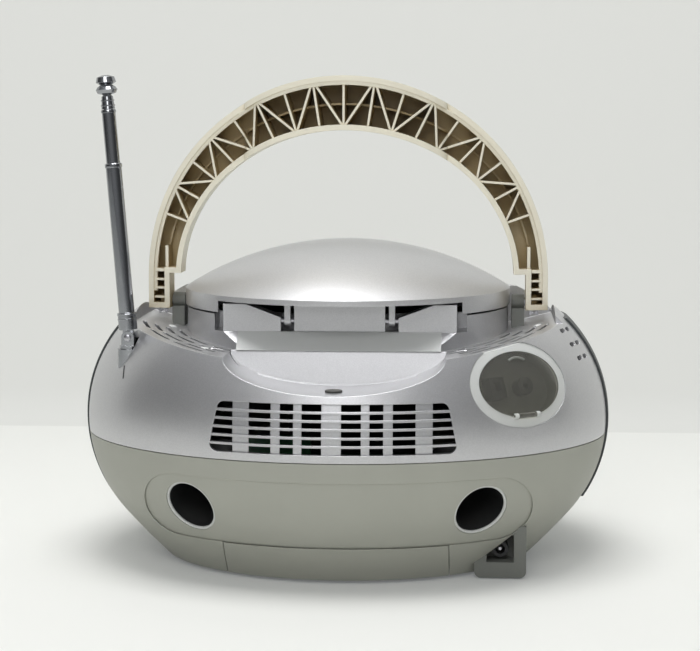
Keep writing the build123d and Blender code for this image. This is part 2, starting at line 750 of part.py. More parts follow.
def disc_clamp():
    """The puck that presses the disc on its hub, hanging loose in the liner."""
    foot = rod(CLAMP_R, (0, 0, WELL_Z + 2.6), (0, 0, LINER_Z - 0.4))
    neck = rod(CLAMP_NECK_R, (0, 0, LINER_Z - 0.4), (0, 0, LINER_Z + 5.4))
    cap = rod(CLAMP_NECK_R + 3, (0, 0, LINER_Z + 5.4), (0, 0, LINER_Z + 7))
    return foot + neck + cap


def hinge_blocks():
    """The two fixed blocks under the lid's rear edge, and the panel between them."""
    blocks = []
    for _, side in SIDES:
        shape = Polygon(
            (side * BLOCK_IN, RAMP_Z), (side * BLOCK_OUT, RAMP_Z), (side * BLOCK_OUT, BLOCK_TOP),
            (side * (BLOCK_IN + 20), BLOCK_TOP), (side * BLOCK_IN, BLOCK_LOW), align=None,
        )
        blocks.append(extrude(Plane.XZ.offset(-BLOCK_FACE_Y) * shape, BLOCK_DEPTH, dir=(0, -1, 0)))
    panel = box(-PANEL_X, PANEL_X, BAY_R + 0.02, BLOCK_FACE_Y - 0.6, RAMP_Z, LID_NOTCH_Z - 2.0)
    ears = box(-PANEL_X, PANEL_X, HINGE_Y - 3, BLOCK_FACE_Y - 0.6, RAMP_Z, HINGE_Z + 3)
    ears -= box(5 - PANEL_X, PANEL_X - 5, 0, BLOCK_FACE_Y - 2.6, 0, FAR)
    group = blocks[0] + blocks[1] + panel + ears
    group -= rod(BAY_R + 0.02, (0, 0, 0), (0, 0, FAR))
    pins = rod(HINGE_PIN_R, (-HINGE_PIN_X, HINGE_Y, HINGE_Z), (HINGE_PIN_X, HINGE_Y, HINGE_Z))
    return group - pins


def hinge_pins():
    """The two steel pins that the lid turns on."""
    return [
        rod(HINGE_PIN_R, (side * (PANEL_X - 4), HINGE_Y, HINGE_Z), (side * HINGE_PIN_X, HINGE_Y, HINGE_Z))
        for _, side in SIDES
    ]


# Folding handle

def arch(outer, inner, foot=LEG_FOOT_Z):
    """The arch seen from behind, between an outer and an inner inset, as a flat face."""
    r = ARCH_OUT - outer
    a, b = ARCH_IN_X + inner, ARCH_IN_Z + inner
    disc = Pos(0, ARCH_Z) * Circle(r) & Pos(0, ARCH_Z + FAR / 2) * Rectangle(2 * FAR, FAR)
    legs = Pos(0, (ARCH_Z + foot) / 2) * Rectangle(2 * r, ARCH_Z - foot)
    hole = Pos(0, ARCH_Z) * Ellipse(a, b)
    gate_x = LEG_IN + inner
    gate_top = LEG_STEP_Z + inner
    gate = Pos(0, (gate_top + foot) / 2 - 1) * Rectangle(2 * gate_x, gate_top - foot + 2)
    return disc + legs - hole - gate


def handle_edge_y(x):
    """How far back the handle's open edge lies when it stands, from the deck that it lands on."""
    return PIVOT_Z - deck_z(x) - REST_GAP


def handle_plan(front=0.0, back=0.0):
    """The handle seen from above: a bowed front, and a back that fits the deck and the bowl."""
    middle = (DECK_MID_X + ARCH_OUT) / 2
    end = ARCH_OUT + 1
    grip_x = DECK_MID_X - REST_GAP
    grip_y = handle_edge_y(DECK_MID_X)
    deep = DECK_MID_Z - BOWL_Z
    with BuildSketch() as plan:
        with BuildLine():
            ThreePointArc((-end, -LEG_FRONT + front), (0, GRIP_FRONT + front), (end, -LEG_FRONT + front))
            Line((end, -LEG_FRONT + front), (end, handle_edge_y(end) - back))
            ThreePointArc(
                (end, handle_edge_y(end) - back),
                (middle, handle_edge_y(middle) - back),
                (grip_x, grip_y - back),
            )
            EllipticalCenterArc((0, grip_y - back), grip_x, deep, start_angle=0, arc_size=180)
            ThreePointArc(
                (-grip_x, grip_y - back),
                (-middle, handle_edge_y(middle) - back),
                (-end, handle_edge_y(end) - back),
            )
            Line((-end, handle_edge_y(end) - back), (-end, -LEG_FRONT + front))
        make_face()
    return extrude(plan.sketch, FAR)


def arch_solid(outer=0.0, inner=0.0, foot=LEG_FOOT_Z):
    """The arch carried front to back through all of the handle's depth."""
    return extrude(Plane.XZ * arch(outer, inner, foot), FAR / 2, both=True)


def bar(start, end, width):
    """A flat strip between two points of the arch, seen from behind."""
    (x0, z0), (x1, z1) = start, end
    length = sqrt((x1 - x0) ** 2 + (z1 - z0) ** 2)
    place = Pos((x0 + x1) / 2, (z0 + z1) / 2) * Rot(Z=degrees(atan2(z1 - z0, x1 - x0)))
    return place * Rectangle(length, width)


def on_arch(angle, outside):
    """A point inside the outer or inner wall, at an angle from the top."""
    turn = radians(angle)
    if outside:
        r = ARCH_OUT - HANDLE_WALL / 2
        return r * sin(turn), ARCH_Z + r * cos(turn)
    a, b = ARCH_IN_X + HANDLE_WALL / 2, ARCH_IN_Z + HANDLE_WALL / 2
    r = a * b / sqrt((b * sin(turn)) ** 2 + (a * cos(turn)) ** 2)
    return r * sin(turn), ARCH_Z + r * cos(turn)


def truss():
    """The ribs of the handle: at each node one straight rib and two slanting ones."""
    strips = []
    half = INNER_NODES // 2
    for k in range(-2 * half, 2 * half + 1):
        angle = k * NODE_PITCH / 2
        strips.append(bar(on_arch(angle, False), on_arch(angle, True), RIB))
        if k < 2 * half:
            after = (k + 1) * NODE_PITCH / 2
            inner_first = k % 2 == 0
            strips.append(bar(on_arch(angle, not inner_first), on_arch(after, inner_first), RIB))
    for side in (1, -1):
        post_x = side * (LEG_IN + HANDLE_WALL / 2)
        strips.append(bar((post_x, LEG_FOOT_Z), (post_x, LEG_POST_TOP), RIB + 0.6))
        for z in LEG_RUNGS:
            strips.append(bar((post_x, z), (side * (ARCH_OUT - 1), z), RIB))
        step_z = LEG_STEP_Z + HANDLE_WALL / 2
        strips.append(bar((side * ARCH_IN_X, step_z), (side * (ARCH_OUT - 1), step_z), RIB + 0.6))
    return strips[0] + strips[1:]


def handle():
    """The carrying handle: an arched channel open to the rear, stiffened by a truss of ribs."""
    foot = Rot(Y=90) * Cylinder(FOOT_SWING, 4 * ARCH_OUT)
    swing = Pos(0, 0, PIVOT_Z) * foot + box(-FAR, FAR, -FAR, FAR, PIVOT_Z, FAR)
    blank = (arch_solid() & handle_plan()) & swing
    room = arch_solid(HANDLE_WALL, HANDLE_WALL, LEG_FOOT_Z + HANDLE_WALL)
    body = blank - (room & handle_plan(HANDLE_BACK, -FAR / 4))
    ribs = extrude(Plane.XZ * truss(), FAR / 2, both=True)
    body += ribs & blank & handle_plan(HANDLE_BACK / 2, RIB_DROP)
    mean_x = (ARCH_OUT + ARCH_IN_X) / 2 + 1
    mean_z = (ARCH_OUT + ARCH_IN_Z) / 2
    ring = Pos(0, ARCH_Z) * (Ellipse(mean_x, mean_z) - Ellipse(mean_x - 1.2, mean_z - 1.2))
    ring &= Pos(0, ARCH_Z + FAR / 2 + 12) * Rectangle(2 * FAR, FAR)
    spine = extrude(Plane.XZ * ring, FAR / 2, both=True)
    body += spine & blank & handle_plan(HANDLE_BACK / 2, SPINE_DROP)
    for _, side in SIDES:
        eye = rod(EYE_R, (side * LEG_IN, 0, PIVOT_Z), (side * PIN_END, 0, PIVOT_Z))
        body += eye & blank
        body -= rod(PIVOT_R + RUN, (side * (LEG_IN - 1), 0, PIVOT_Z), (side * (PIN_END + 1), 0, PIVOT_Z))
    return body


def handle_bracket(side):
    """The ear beside the leg, standing on the deck and holding the pivot pin."""
    x0, x1 = sorted((side * EAR_IN, side * EAR_OUT))
    ear = box(x0, x1, -EAR_HALF, EAR_HALF, DECK_MID_Z, PIVOT_Z - EYE_R + 1)
    ear = ear & above_deck(-FAR, FAR)
    ear += rod(EYE_R, (x0, 0, PIVOT_Z), (x1, 0, PIVOT_Z))
    return ear - rod(PIVOT_R, (x0 - 1, 0, PIVOT_Z), (x1 + 1, 0, PIVOT_Z))


def handle_pins():
    """The two steel pins, each through an ear and its leg."""
    return [rod(PIVOT_R, (side * EAR_IN, 0, PIVOT_Z), (side * (PIN_END - 0.5), 0, PIVOT_Z)) for _, side in SIDES]


# Telescopic antenna

def leaning(shape):
    """Stand an antenna piece on its pivot, leaning outwards a little."""
    return Pos(ANT_X, ANT_Y, ANT_PIN_Z) * Rot(Y=ANT_LEAN) * shape


def antenna_socket():
    """The bright cup sunk in the shoulder."""
    cup = rod(ANT_SOCKET_R, (ANT_X, ANT_Y, ANT_FOOT_Z), (ANT_X, ANT_Y, ANT_RIM_Z))
    return cup - rod(ANT_SOCKET_R - ANT_SOCKET_WALL, (ANT_X, ANT_Y, ANT_FOOT_Z + 1.5), (ANT_X, ANT_Y, FAR))


def antenna_knuckle():
    """The part that swivels in the cup and forks round the lowest tube."""
    r = ANT_SOCKET_R - ANT_SOCKET_WALL - RUN
    post = rod(r, (ANT_X, ANT_Y, ANT_FOOT_Z + 1.6), (ANT_X, ANT_Y, ANT_PIN_Z - 4.6))
    fork = box(ANT_X - 3.6, ANT_X + 3.6, ANT_Y - 4.2, ANT_Y + 4.2, ANT_PIN_Z - 5, ANT_PIN_Z)
    fork += rod(3.6, (ANT_X, ANT_Y - 4.2, ANT_PIN_Z), (ANT_X, ANT_Y + 4.2, ANT_PIN_Z))
    fork -= box(ANT_X - 9, ANT_X + 9, ANT_Y - TONGUE - RUN, ANT_Y + TONGUE + RUN, ANT_PIN_Z - 4.2, FAR)
    return post + fork + rod(ANT_PIN_R, (ANT_X, ANT_Y - 4.0, ANT_PIN_Z), (ANT_X, ANT_Y + 4.0, ANT_PIN_Z))


def antenna_tube(stage):
    """One stage of the telescope; the lowest has the tongue, the highest the knob."""
    r, foot, top = TUBE_R[stage], TUBE_FOOT[stage], TUBE_TOP[stage]
    if stage == 0:
        shape = tube(r, r - TUBE_R[1] - RUN, (0, 0, foot), (0, 0, top))
        shape += rod(r + 0.8, (0, 0, 4.4), (0, 0, foot + 7)) - rod(r - 0.3, (0, 0, foot), (0, 0, FAR))
        tongue = box(-3.0, 3.0, -TONGUE, TONGUE, 0, 5) + rod(3.0, (0, -TONGUE, 0), (0, TONGUE, 0))
        shape += tongue - rod(ANT_PIN_R + RUN, (0, -9, 0), (0, 9, 0))
        return leaning(shape)
    if stage == 1:
        return leaning(tube(r, r - TUBE_R[2] - RUN, (0, 0, foot), (0, 0, top)))
    with BuildSketch(Plane.XZ) as half:
        with BuildLine():
            low = TUBE_TOP[1] + 0.2
            Polyline(
                (0, foot), (r, foot), (r, low), (TUBE_R[1], low), (3.2, low + 7), (2.2, top),
                (5.2, top + 1), (KNOB_R, top + 3), (5.0, top + 4.6), (3.4, top + 5.6),
                (KNOB_R - 0.4, top + 7), (KNOB_R - 1.2, KNOB_TOP - 1), (2.0, KNOB_TOP),
                (0, KNOB_TOP), (0, foot),
            )
        make_face()
    return leaning(revolve(half.sketch, Axis.Z))


# Jack cover and the jacks behind it

def jack_bezel():
    """The pale oval ring round the cover, a little sunk."""
    ring = jack_zone(JACK_RING, 14) - jack_zone(FIT, 16)
    ring = (ring & (body_form(0.5) - body_form(JACK_SEAT))) - above_deck(0, FAR, FIT)
    lugs = jack_hinge(JACK_BARREL_R, JACK_PIN_HALF) - jack_hinge(2 * JACK_BARREL_R, JACK_BARREL_HALF + FIT)
    return ring + lugs - [jack_hinge(JACK_BARREL_R + FIT, JACK_BARREL_HALF + FIT), jack_hinge(JACK_PIN_R + RUN, 20)]


def jack_hinge(r, half):
    """The round bar along the foot of the cover, on its hinge line."""
    start, end = hinge_ends(half)
    return rod(r, start, end)


def hinge_ends(half):
    """Both ends of the jack cover's hinge line."""
    ends = []
    for t in (-half, half):
        p = JACK_PLANE.from_local_coords(Vector(t, JACK_H / 2 - JACK_PIN_UP, -JACK_PIN_IN))
        ends.append((p.X, p.Y, p.Z))
    return ends


def jack_cover():
    """The smoked oval lens that swings down over the jacks."""
    lens = jack_zone(0.0, 14) & (OUTSIDE - body_form(JACK_LENS))
    lens -= jack_hinge(JACK_BARREL_R + FIT, JACK_PIN_HALF + FIT) - jack_hinge(JACK_H, JACK_BARREL_HALF)
    return lens + [jack_hinge(JACK_BARREL_R, JACK_BARREL_HALF), jack_hinge(JACK_PIN_R, JACK_PIN_HALF)]


def jack_well():
    """The dark tub behind the cover."""
    tub = jack_zone(3.4, JACK_DEEP + 1.6, 0) - jack_zone(1.8, JACK_DEEP, 6)
    return (tub & body_form(JACK_SEAT)) - above_deck(0, FAR, WALL + FIT)


def link_jacks():
    """A square optical jack and a round line jack on the floor of the well."""
    floor = JACK_PLANE.offset(-JACK_DEEP)
    square = extrude(floor * Pos(10.5, 0) * Rectangle(10, 12), 7)
    square -= extrude(floor.offset(2) * Pos(10.5, -1) * Rectangle(5, 5), 7)
    ring = extrude(floor * Pos(-9.5, 0) * (Circle(5) - Circle(1.8)), 6)
    return [square, ring]


# Underside, power and inner parts

def battery_door():
    """The door that slides back off the battery compartment."""
    return (OUTSIDE - INSIDE) & door_zone()


def battery_box():
    """The tub over the battery door, open downwards."""
    x = DOOR_X - 3
    tub = box(-x, x, DOOR_Y + 4, 96, SOLE_Z + WALL + 0.3, 40)
    tub -= box(-x + 1.8, x - 1.8, DOOR_Y + 5.8, 94.2, 0, 38.2)
    return tub & body_form(WALL + 0.3)


def power_inlet():
    """The block under the shell with the recess for the power lead."""
    block = inlet_zone() - box(
        -INLET_X - SOCKET_HALF, SOCKET_HALF - INLET_X, INLET_BACK - SOCKET_DEEP, FAR, SOCKET_LOW, SOCKET_TOP
    )
    return block


def inlet_boss():
    """The round boss in the recess."""
    y = INLET_BACK - SOCKET_DEEP
    return tube(4.6, 1.9, (-INLET_X, y, INLET_PIN_Z), (-INLET_X, y + 10, INLET_PIN_Z))


def inlet_pin():
    """The bright centre pin."""
    y = INLET_BACK - SOCKET_DEEP
    return rod(0.9, (-INLET_X, y, INLET_PIN_Z), (-INLET_X, y + 9, INLET_PIN_Z))


def transformer():
    """Stacked core with its winding, standing on the floor of the lower shell."""
    core = box(-70, -40, -32, 8, SOLE_Z + WALL, 38)
    coil = box(-75, -35, -22, -2, 10, 33)
    return core + fillet(coil.edges().filter_by(Axis.Y), 4)


def rubber_pads():
    """Four feet, and the pad in the bowl that the folded handle lands on."""
    pads = [rod(FOOT_R, (x, y, 0), (x, y, SOLE_Z + FOOT_SUNK)) for x, y in FEET]
    return pads + [rod(PAD_R, (0, PAD_Y, BOWL_Z - PAD_SUNK), (0, PAD_Y, BOWL_Z + PAD_PROUD))]


def main_board():
    """The circuit board on its four posts."""
    board = box(-84, 84, -48, 44, BOARD_Z, BOARD_Z + 1.6)
    parts = box(-50, -20, -30, 10, BOARD_Z + 1.6, BOARD_Z + 5)
    return board + parts + box(20, 60, 20, 28, BOARD_Z + 1.6, BOARD_Z + 24)


# Front controls

def display_window():
    """The clear window over the display."""
    return (body_form(0.2) - body_form(2.0)) & display_zone()


def display_module():
    """The display and the key board behind the front column."""
    board = box(-BOARD_POST_X - 4, BOARD_POST_X + 4, DISPLAY_BACK, DISPLAY_BACK + 1.6, 87, 120)
    glass = box(4 - DISPLAY_X, DISPLAY_X - 4, DISPLAY_BACK - 7, DISPLAY_BACK, DISPLAY_Z[0] + 1, DISPLAY_Z[1] - 1)
    return board + glass


def tape_door():
    """The cassette door with its window and the rails that hold a cassette."""
    door = (OUTSIDE - INSIDE) & tape_zone()
    door -= tape_window_zone(0.05)
    rails = box(-37, 37, -FAR, -109, TAPE_LOW + 4, TAPE_TOP - 6)
    rails -= box(-35, 35, -FAR, -108, TAPE_LOW + 5.6, FAR)
    return door + (rails & body_form(WALL - 0.6))


def tape_window_zone(grow=0.0):
    """The room of the window in the cassette door."""
    return box(-28 - grow, 28 + grow, -FAR, 0, 52 - grow, 74 + grow)


def tape_window():
    """The clear window in the cassette door."""
    return (body_form(0.3) - body_form(2.1)) & tape_window_zone()


def tape_well():
    """The box behind the cassette door, with the tape head on its floor."""
    well = box(-45.5, 45.5, -FAR, TAPE_BACK + 2, TAPE_LOW - 1, TAPE_TOP + 1.6)
    well -= box(-43.5, 43.5, -FAR, TAPE_BACK, TAPE_LOW + 1, TAPE_TOP - 0.2 + FIT)
    well = well & body_form(WALL + WELL_CLEAR)
    head = box(-8, 8, TAPE_BACK - 4, TAPE_BACK, 45, 54)
    well += head
    for x in (-SPINDLE_X, SPINDLE_X):
        well -= rod(2.0 + RUN, (x, TAPE_BACK - 1, SPINDLE_Z), (x, TAPE_BACK + 3, SPINDLE_Z))
    return well


def tape_spindle(x):
    """A drive spindle with three splines."""
    y = TAPE_BACK
    hub = rod(2.0, (x, y + 2, SPINDLE_Z), (x, y - 0.3, SPINDLE_Z))
    crown = rod(3.2, (x, y - 0.3, SPINDLE_Z), (x, y - 7, SPINDLE_Z))
    for k in range(3):
        fin = box(-0.5, 0.5, y - 6, y - 0.3, 0, 4.4)
        crown += Pos(x, 0, SPINDLE_Z) * Rot(Y=120 * k) * fin
    return hub + crown


def tape_key(x):
    """One cassette key, curved with the front."""
    return (body_form(-KEY_PROUD) - body_form(WALL + 1.5)) & key_zone(x)


def round_button(x):
    """One round button on the slope above the display."""
    zone = press_zone(shell_plane(x, BUTTON_Z, -1), (2 * BUTTON_R,))
    return (body_form(-KEY_PROUD) - body_form(WALL + 1.5)) & zone


def volume_knob():
    """The fluted volume knob with its shaft."""
    knob = extrude(DIAL_PLANE.offset(DIAL_GAP) * Circle(DIAL_R), DIAL_H)
    knob = fillet(knob.faces().sort_by(Axis.Y)[0].edges(), 1.6)
    for k in range(DIAL_FLUTES):
        turn = Pos(DIAL_R * cos(2 * pi * k / DIAL_FLUTES), DIAL_R * sin(2 * pi * k / DIAL_FLUTES))
        knob -= extrude(DIAL_PLANE * turn * Circle(0.8), 2 * DIAL_H)
    return knob + extrude(DIAL_PLANE.offset(-7) * Circle(DIAL_SHAFT_R), 7 + 2 * DIAL_GAP)


def open_button():
    """The long button in front of the lid that lets it open."""
    return (body_form(-KEY_PROUD) - body_form(WALL + 1.0)) & press_zone(OPEN_PLANE, OPEN_SIZE)


def main():
    save("lower_casing", lower_casing())
    save("upper_casing", upper_casing())
    save("front_panel", front_panel())
    save("rear_grille", rear_grille())
    for name, side in SIDES:
        save("speaker_grille_" + name, speaker_grille(side))
        save("speaker_frame_" + name, speaker_frame(side))
        save("speaker_cone_" + name, speaker_cone(side))
        save("reflex_port_" + name, reflex_port(side))
        save("handle_bracket_" + name, handle_bracket(side))
    save("cd_tray", cd_tray())
    save("cd_turntable", turntable())
    save("cd_pickup", pickup())
    save("cd_lid", lid())
    save("cd_lid_liner", lid_liner())
    save("cd_clamp", disc_clamp())
    save("hinge_blocks", hinge_blocks())
    save("hinge_pins", Compound(children=hinge_pins()))
    save("handle", handle())
    save("handle_pins", Compound(children=handle_pins()))
    save("antenna_socket", antenna_socket())
    save("antenna_knuckle", antenna_knuckle())
    for stage in range(3):
        save(f"antenna_tube_{stage + 1}", antenna_tube(stage))
    save("jack_bezel", jack_bezel())
    save("jack_cover", jack_cover())
    save("jack_well", jack_well())
    save("link_jacks", Compound(children=link_jacks()))
    save("battery_door", battery_door())
    save("battery_box", battery_box())
    save("power_inlet", power_inlet())
    save("inlet_boss", inlet_boss())
    save("inlet_pin", inlet_pin())
    save("transformer", transformer())
    save("main_board", main_board())
    save("rubber_pads", Compound(children=rubber_pads()))
    save("display_window", display_window())
    save("display_module", display_module())
    save("tape_door", tape_door())
    save("tape_window", tape_window())
    save("tape_well", tape_well())
    for name, x in (("left", SPINDLE_X), ("right", -SPINDLE_X)):
        save("tape_spindle_" + name, tape_spindle(x))
    for number, x in enumerate(KEY_PLACES, 1):
        save(f"tape_key_{number}", tape_key(x))
    for number, x in enumerate(BUTTON_X, 1):
        save(f"play_button_{number}", round_button(x))
    save("volume_knob", volume_knob())
    save("open_button", open_button())


main()
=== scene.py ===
import math

import bmesh
import bpy
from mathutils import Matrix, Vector
from mathutils.bvhtree import BVHTree


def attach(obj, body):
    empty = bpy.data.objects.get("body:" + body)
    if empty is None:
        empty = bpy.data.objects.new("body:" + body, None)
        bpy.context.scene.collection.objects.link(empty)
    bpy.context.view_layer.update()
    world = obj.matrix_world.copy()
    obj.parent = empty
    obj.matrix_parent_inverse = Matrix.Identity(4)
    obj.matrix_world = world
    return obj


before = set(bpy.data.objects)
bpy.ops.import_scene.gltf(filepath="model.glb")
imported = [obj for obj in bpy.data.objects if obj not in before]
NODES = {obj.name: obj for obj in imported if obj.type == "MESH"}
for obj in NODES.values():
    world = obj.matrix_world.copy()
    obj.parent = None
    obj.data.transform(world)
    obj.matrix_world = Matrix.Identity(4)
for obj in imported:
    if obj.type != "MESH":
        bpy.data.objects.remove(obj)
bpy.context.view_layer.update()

# A portable disc and cassette player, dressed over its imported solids. Metres; +Z is up, the rear faces +Y.

MM = 0.001


# Small helpers

def linear(red, green, blue):
    """A colour written in 0 to 255 steps, as the shader wants it."""
    return [pow((c / 255 + 0.055) / 1.055, 2.4) for c in (red, green, blue)] + [1.0]


def point(x, y, z):
    """A place given in millimetres."""
    return Vector((x, y, z)) * MM


def math_node(nodes, operation, second=None):
    """A maths node, with its second number where that is fixed."""
    node = nodes.new("ShaderNodeMath")
    node.operation = operation
    if second is not None:
        node.inputs[1].default_value = second
    return node


def map_range(nodes, from_min, from_max, to_min, to_max):
    """A node that carries one range of values over to another."""
    node = nodes.new("ShaderNodeMapRange")
    node.inputs["From Min"].default_value = from_min
    node.inputs["From Max"].default_value = from_max
    node.inputs["To Min"].default_value = to_min
    node.inputs["To Max"].default_value = to_max
    return node


def colour_mix(nodes):
    """A node that mixes two colours."""
    node = nodes.new("ShaderNodeMix")
    node.data_type = "RGBA"
    return node


# Camera, lights and room

CAMERA_AT = (-0.075, 1.085, 0.255)
CAMERA_TURN = math.radians(3.89)
CAMERA_DIP = math.radians(6.4)
LENS = 94.4
SENSOR = 36.0
WALL_Y = -0.41
WALL_BEND = 0.03
FLOOR_HALF = 2.6
ROOM_LOW = 0.2
ROOM_HIGH = 0.5
ROOM_SIDE = 0.3
ROOM_TINT = (0.96, 0.98, 1.0, 1.0)
WALL_PAINT = linear(222, 223, 219)
WALL_TOP = 1.8
WALL_LIFT = 0.75
FLOOR_PAINT = linear(226, 226, 221)
FLOOR_GLOW = (1.0, 1.04, 1.08, 1)
FLOOR_LIFT = 0.12
LAMP_AIM = Vector((0, 0, 0.1))


def add_camera():
    """The camera of the photo, behind the player and a little above it."""
    data = bpy.data.cameras.new("camera")
    data.sensor_width = SENSOR
    data.lens = LENS
    data.clip_start = 0.01
    data.clip_end = 50
    camera = bpy.data.objects.new("camera", data)
    bpy.context.scene.collection.objects.link(camera)
    level = math.cos(CAMERA_DIP)
    forward = Vector((math.sin(CAMERA_TURN) * level, -math.cos(CAMERA_TURN) * level, -math.sin(CAMERA_DIP)))
    camera.location = CAMERA_AT
    camera.rotation_mode = "QUATERNION"
    camera.rotation_quaternion = forward.to_track_quat("-Z", "Y")
    bpy.context.scene.camera = camera


def add_softbox(name, at, size, watts):
    """A soft rectangular lamp that looks at the player."""
    data = bpy.data.lights.new(name, "AREA")
    data.shape = "RECTANGLE"
    data.size, data.size_y = size
    data.energy = watts
    lamp = bpy.data.objects.new(name, data)
    bpy.context.scene.collection.objects.link(lamp)
    lamp.location = at
    lamp.rotation_mode = "QUATERNION"
    lamp.rotation_quaternion = (LAMP_AIM - Vector(at)).to_track_quat("-Z", "Y")


def sky_world():
    """Soft room light, brighter overhead and darker to the sides; the camera sees a plain pale background."""
    world = bpy.data.worlds.new("room_light")
    bpy.context.scene.world = world
    world.use_nodes = True
    tree = world.node_tree
    nodes, links = tree.nodes, tree.links
    nodes.clear()
    out = nodes.new("ShaderNodeOutputWorld")
    room = nodes.new("ShaderNodeBackground")
    back = nodes.new("ShaderNodeBackground")
    back.inputs["Color"].default_value = WALL_PAINT
    back.inputs["Strength"].default_value = 1.0
    room.inputs["Color"].default_value = ROOM_TINT
    coordinate = nodes.new("ShaderNodeTexCoord")
    split = nodes.new("ShaderNodeSeparateXYZ")
    links.new(coordinate.outputs["Generated"], split.inputs[0])
    height = map_range(nodes, -0.3, 0.9, ROOM_LOW, ROOM_HIGH)
    links.new(split.outputs["Z"], height.inputs["Value"])
    aside = math_node(nodes, "ABSOLUTE")
    links.new(split.outputs["X"], aside.inputs[0])
    fade = map_range(nodes, 0.25, 0.9, 1.0, ROOM_SIDE)
    links.new(aside.outputs[0], fade.inputs["Value"])
    level = math_node(nodes, "MULTIPLY")
    links.new(height.outputs["Result"], level.inputs[0])
    links.new(fade.outputs["Result"], level.inputs[1])
    links.new(level.outputs[0], room.inputs["Strength"])
    path = nodes.new("ShaderNodeLightPath")
    mix = nodes.new("ShaderNodeMixShader")
    links.new(path.outputs["Is Camera Ray"], mix.inputs["Fac"])
    links.new(room.outputs[0], mix.inputs[1])
    links.new(back.outputs[0], mix.inputs[2])
    links.new(mix.outputs[0], out.inputs["Surface"])


def stage_material(name, colour, glow, share, one_sided=False):
    """Plain paint for the floor or the wall, lifted for the eye; one-sided paint is clear from behind."""
    material = bpy.data.materials.new(name)
    material.use_nodes = True
    nodes, links = material.node_tree.nodes, material.node_tree.links
    shader = nodes["Principled BSDF"]
    shader.inputs["Roughness"].default_value = 0.75
    shader.inputs["Specular IOR Level"].default_value = 0.2
    noise = nodes.new("ShaderNodeTexNoise")
    noise.inputs["Scale"].default_value = 3.0
    mix = colour_mix(nodes)
    mix.inputs["A"].default_value = colour
    mix.inputs["B"].default_value = [0.97 * c for c in colour[:3]] + [1.0]
    coordinate = nodes.new("ShaderNodeTexCoord")
    links.new(coordinate.outputs["Object"], noise.inputs["Vector"])
    links.new(noise.outputs["Fac"], mix.inputs["Factor"])
    links.new(mix.outputs["Result"], shader.inputs["Base Color"])
    lift = nodes.new("ShaderNodeEmission")
    lift.inputs["Color"].default_value = glow
    path = nodes.new("ShaderNodeLightPath")
    seen = math_node(nodes, "ADD")
    seen_too = math_node(nodes, "ADD")
    seen_too.use_clamp = True
    amount = math_node(nodes, "MULTIPLY", share)
    links.new(path.outputs["Is Camera Ray"], seen.inputs[0])
    links.new(path.outputs["Is Glossy Ray"], seen.inputs[1])
    links.new(seen.outputs[0], seen_too.inputs[0])
    links.new(path.outputs["Is Transmission Ray"], seen_too.inputs[1])
    links.new(seen_too.outputs[0], amount.inputs[0])
    surface = nodes.new("ShaderNodeMixShader")
    links.new(amount.outputs[0], surface.inputs["Fac"])
    links.new(shader.outputs[0], surface.inputs[1])
    links.new(lift.outputs[0], surface.inputs[2])
    if one_sided:
        side = nodes.new("ShaderNodeNewGeometry")
        clear = nodes.new("ShaderNodeBsdfTransparent")
        choose = nodes.new("ShaderNodeMixShader")
        links.new(side.outputs["Backfacing"], choose.inputs["Fac"])
        links.new(surface.outputs[0], choose.inputs[1])
        links.new(clear.outputs[0], choose.inputs[2])
        surface = choose
    links.new(surface.outputs[0], nodes["Material Output"].inputs["Surface"])
    return material


def add_stage():
    """A pale table top that runs up to a pale wall."""
    mesh = bpy.data.meshes.new("table_top")
    h = FLOOR_HALF
    mesh.from_pydata([(-h, -h, 0), (h, -h, 0), (h, h, 0), (-h, h, 0)], [], [(0, 1, 2, 3)])
    floor = bpy.data.objects.new("table_top", mesh)
    mesh.materials.append(stage_material("table_paint", FLOOR_PAINT, FLOOR_GLOW, FLOOR_LIFT))
    profile = [(WALL_Y, 0.0005)]
    for k in range(1, 9):
        turn = math.radians(90 * k / 8)
        profile.append((WALL_Y - WALL_BEND * math.sin(turn), WALL_BEND * (1 - math.cos(turn))))
    profile.append((WALL_Y - WALL_BEND, WALL_TOP))
    verts = [(x, y, z) for y, z in profile for x in (-h, h)]
    faces = [(2 * k + 1, 2 * k, 2 * k + 2, 2 * k + 3) for k in range(len(profile) - 1)]
    wall_mesh = bpy.data.meshes.new("wall")
    wall_mesh.from_pydata(verts, [], faces)
    wall_mesh.polygons.foreach_set("use_smooth", [True] * len(faces))
    paint = stage_material("wall_paint", WALL_PAINT, WALL_PAINT, WALL_LIFT, one_sided=True)
    wall_mesh.materials.append(paint)
    wall = bpy.data.objects.new("wall", wall_mesh)
    for obj in (floor, wall):
        bpy.context.scene.collection.objects.link(obj)


# Effects shared by several finishes

def new_group(name, inputs, outputs):
    """An empty node group with its own named sockets."""
    group = bpy.data.node_groups.new(name, "ShaderNodeTree")
    for label, kind, value in inputs:
        socket = group.interface.new_socket(name=label, in_out="INPUT", socket_type=kind)
        socket.default_value = value
    for label, kind in outputs:
        group.interface.new_socket(name=label, in_out="OUTPUT", socket_type=kind)
    start = group.nodes.new("NodeGroupInput")
    end = group.nodes.new("NodeGroupOutput")
    return group, start, end


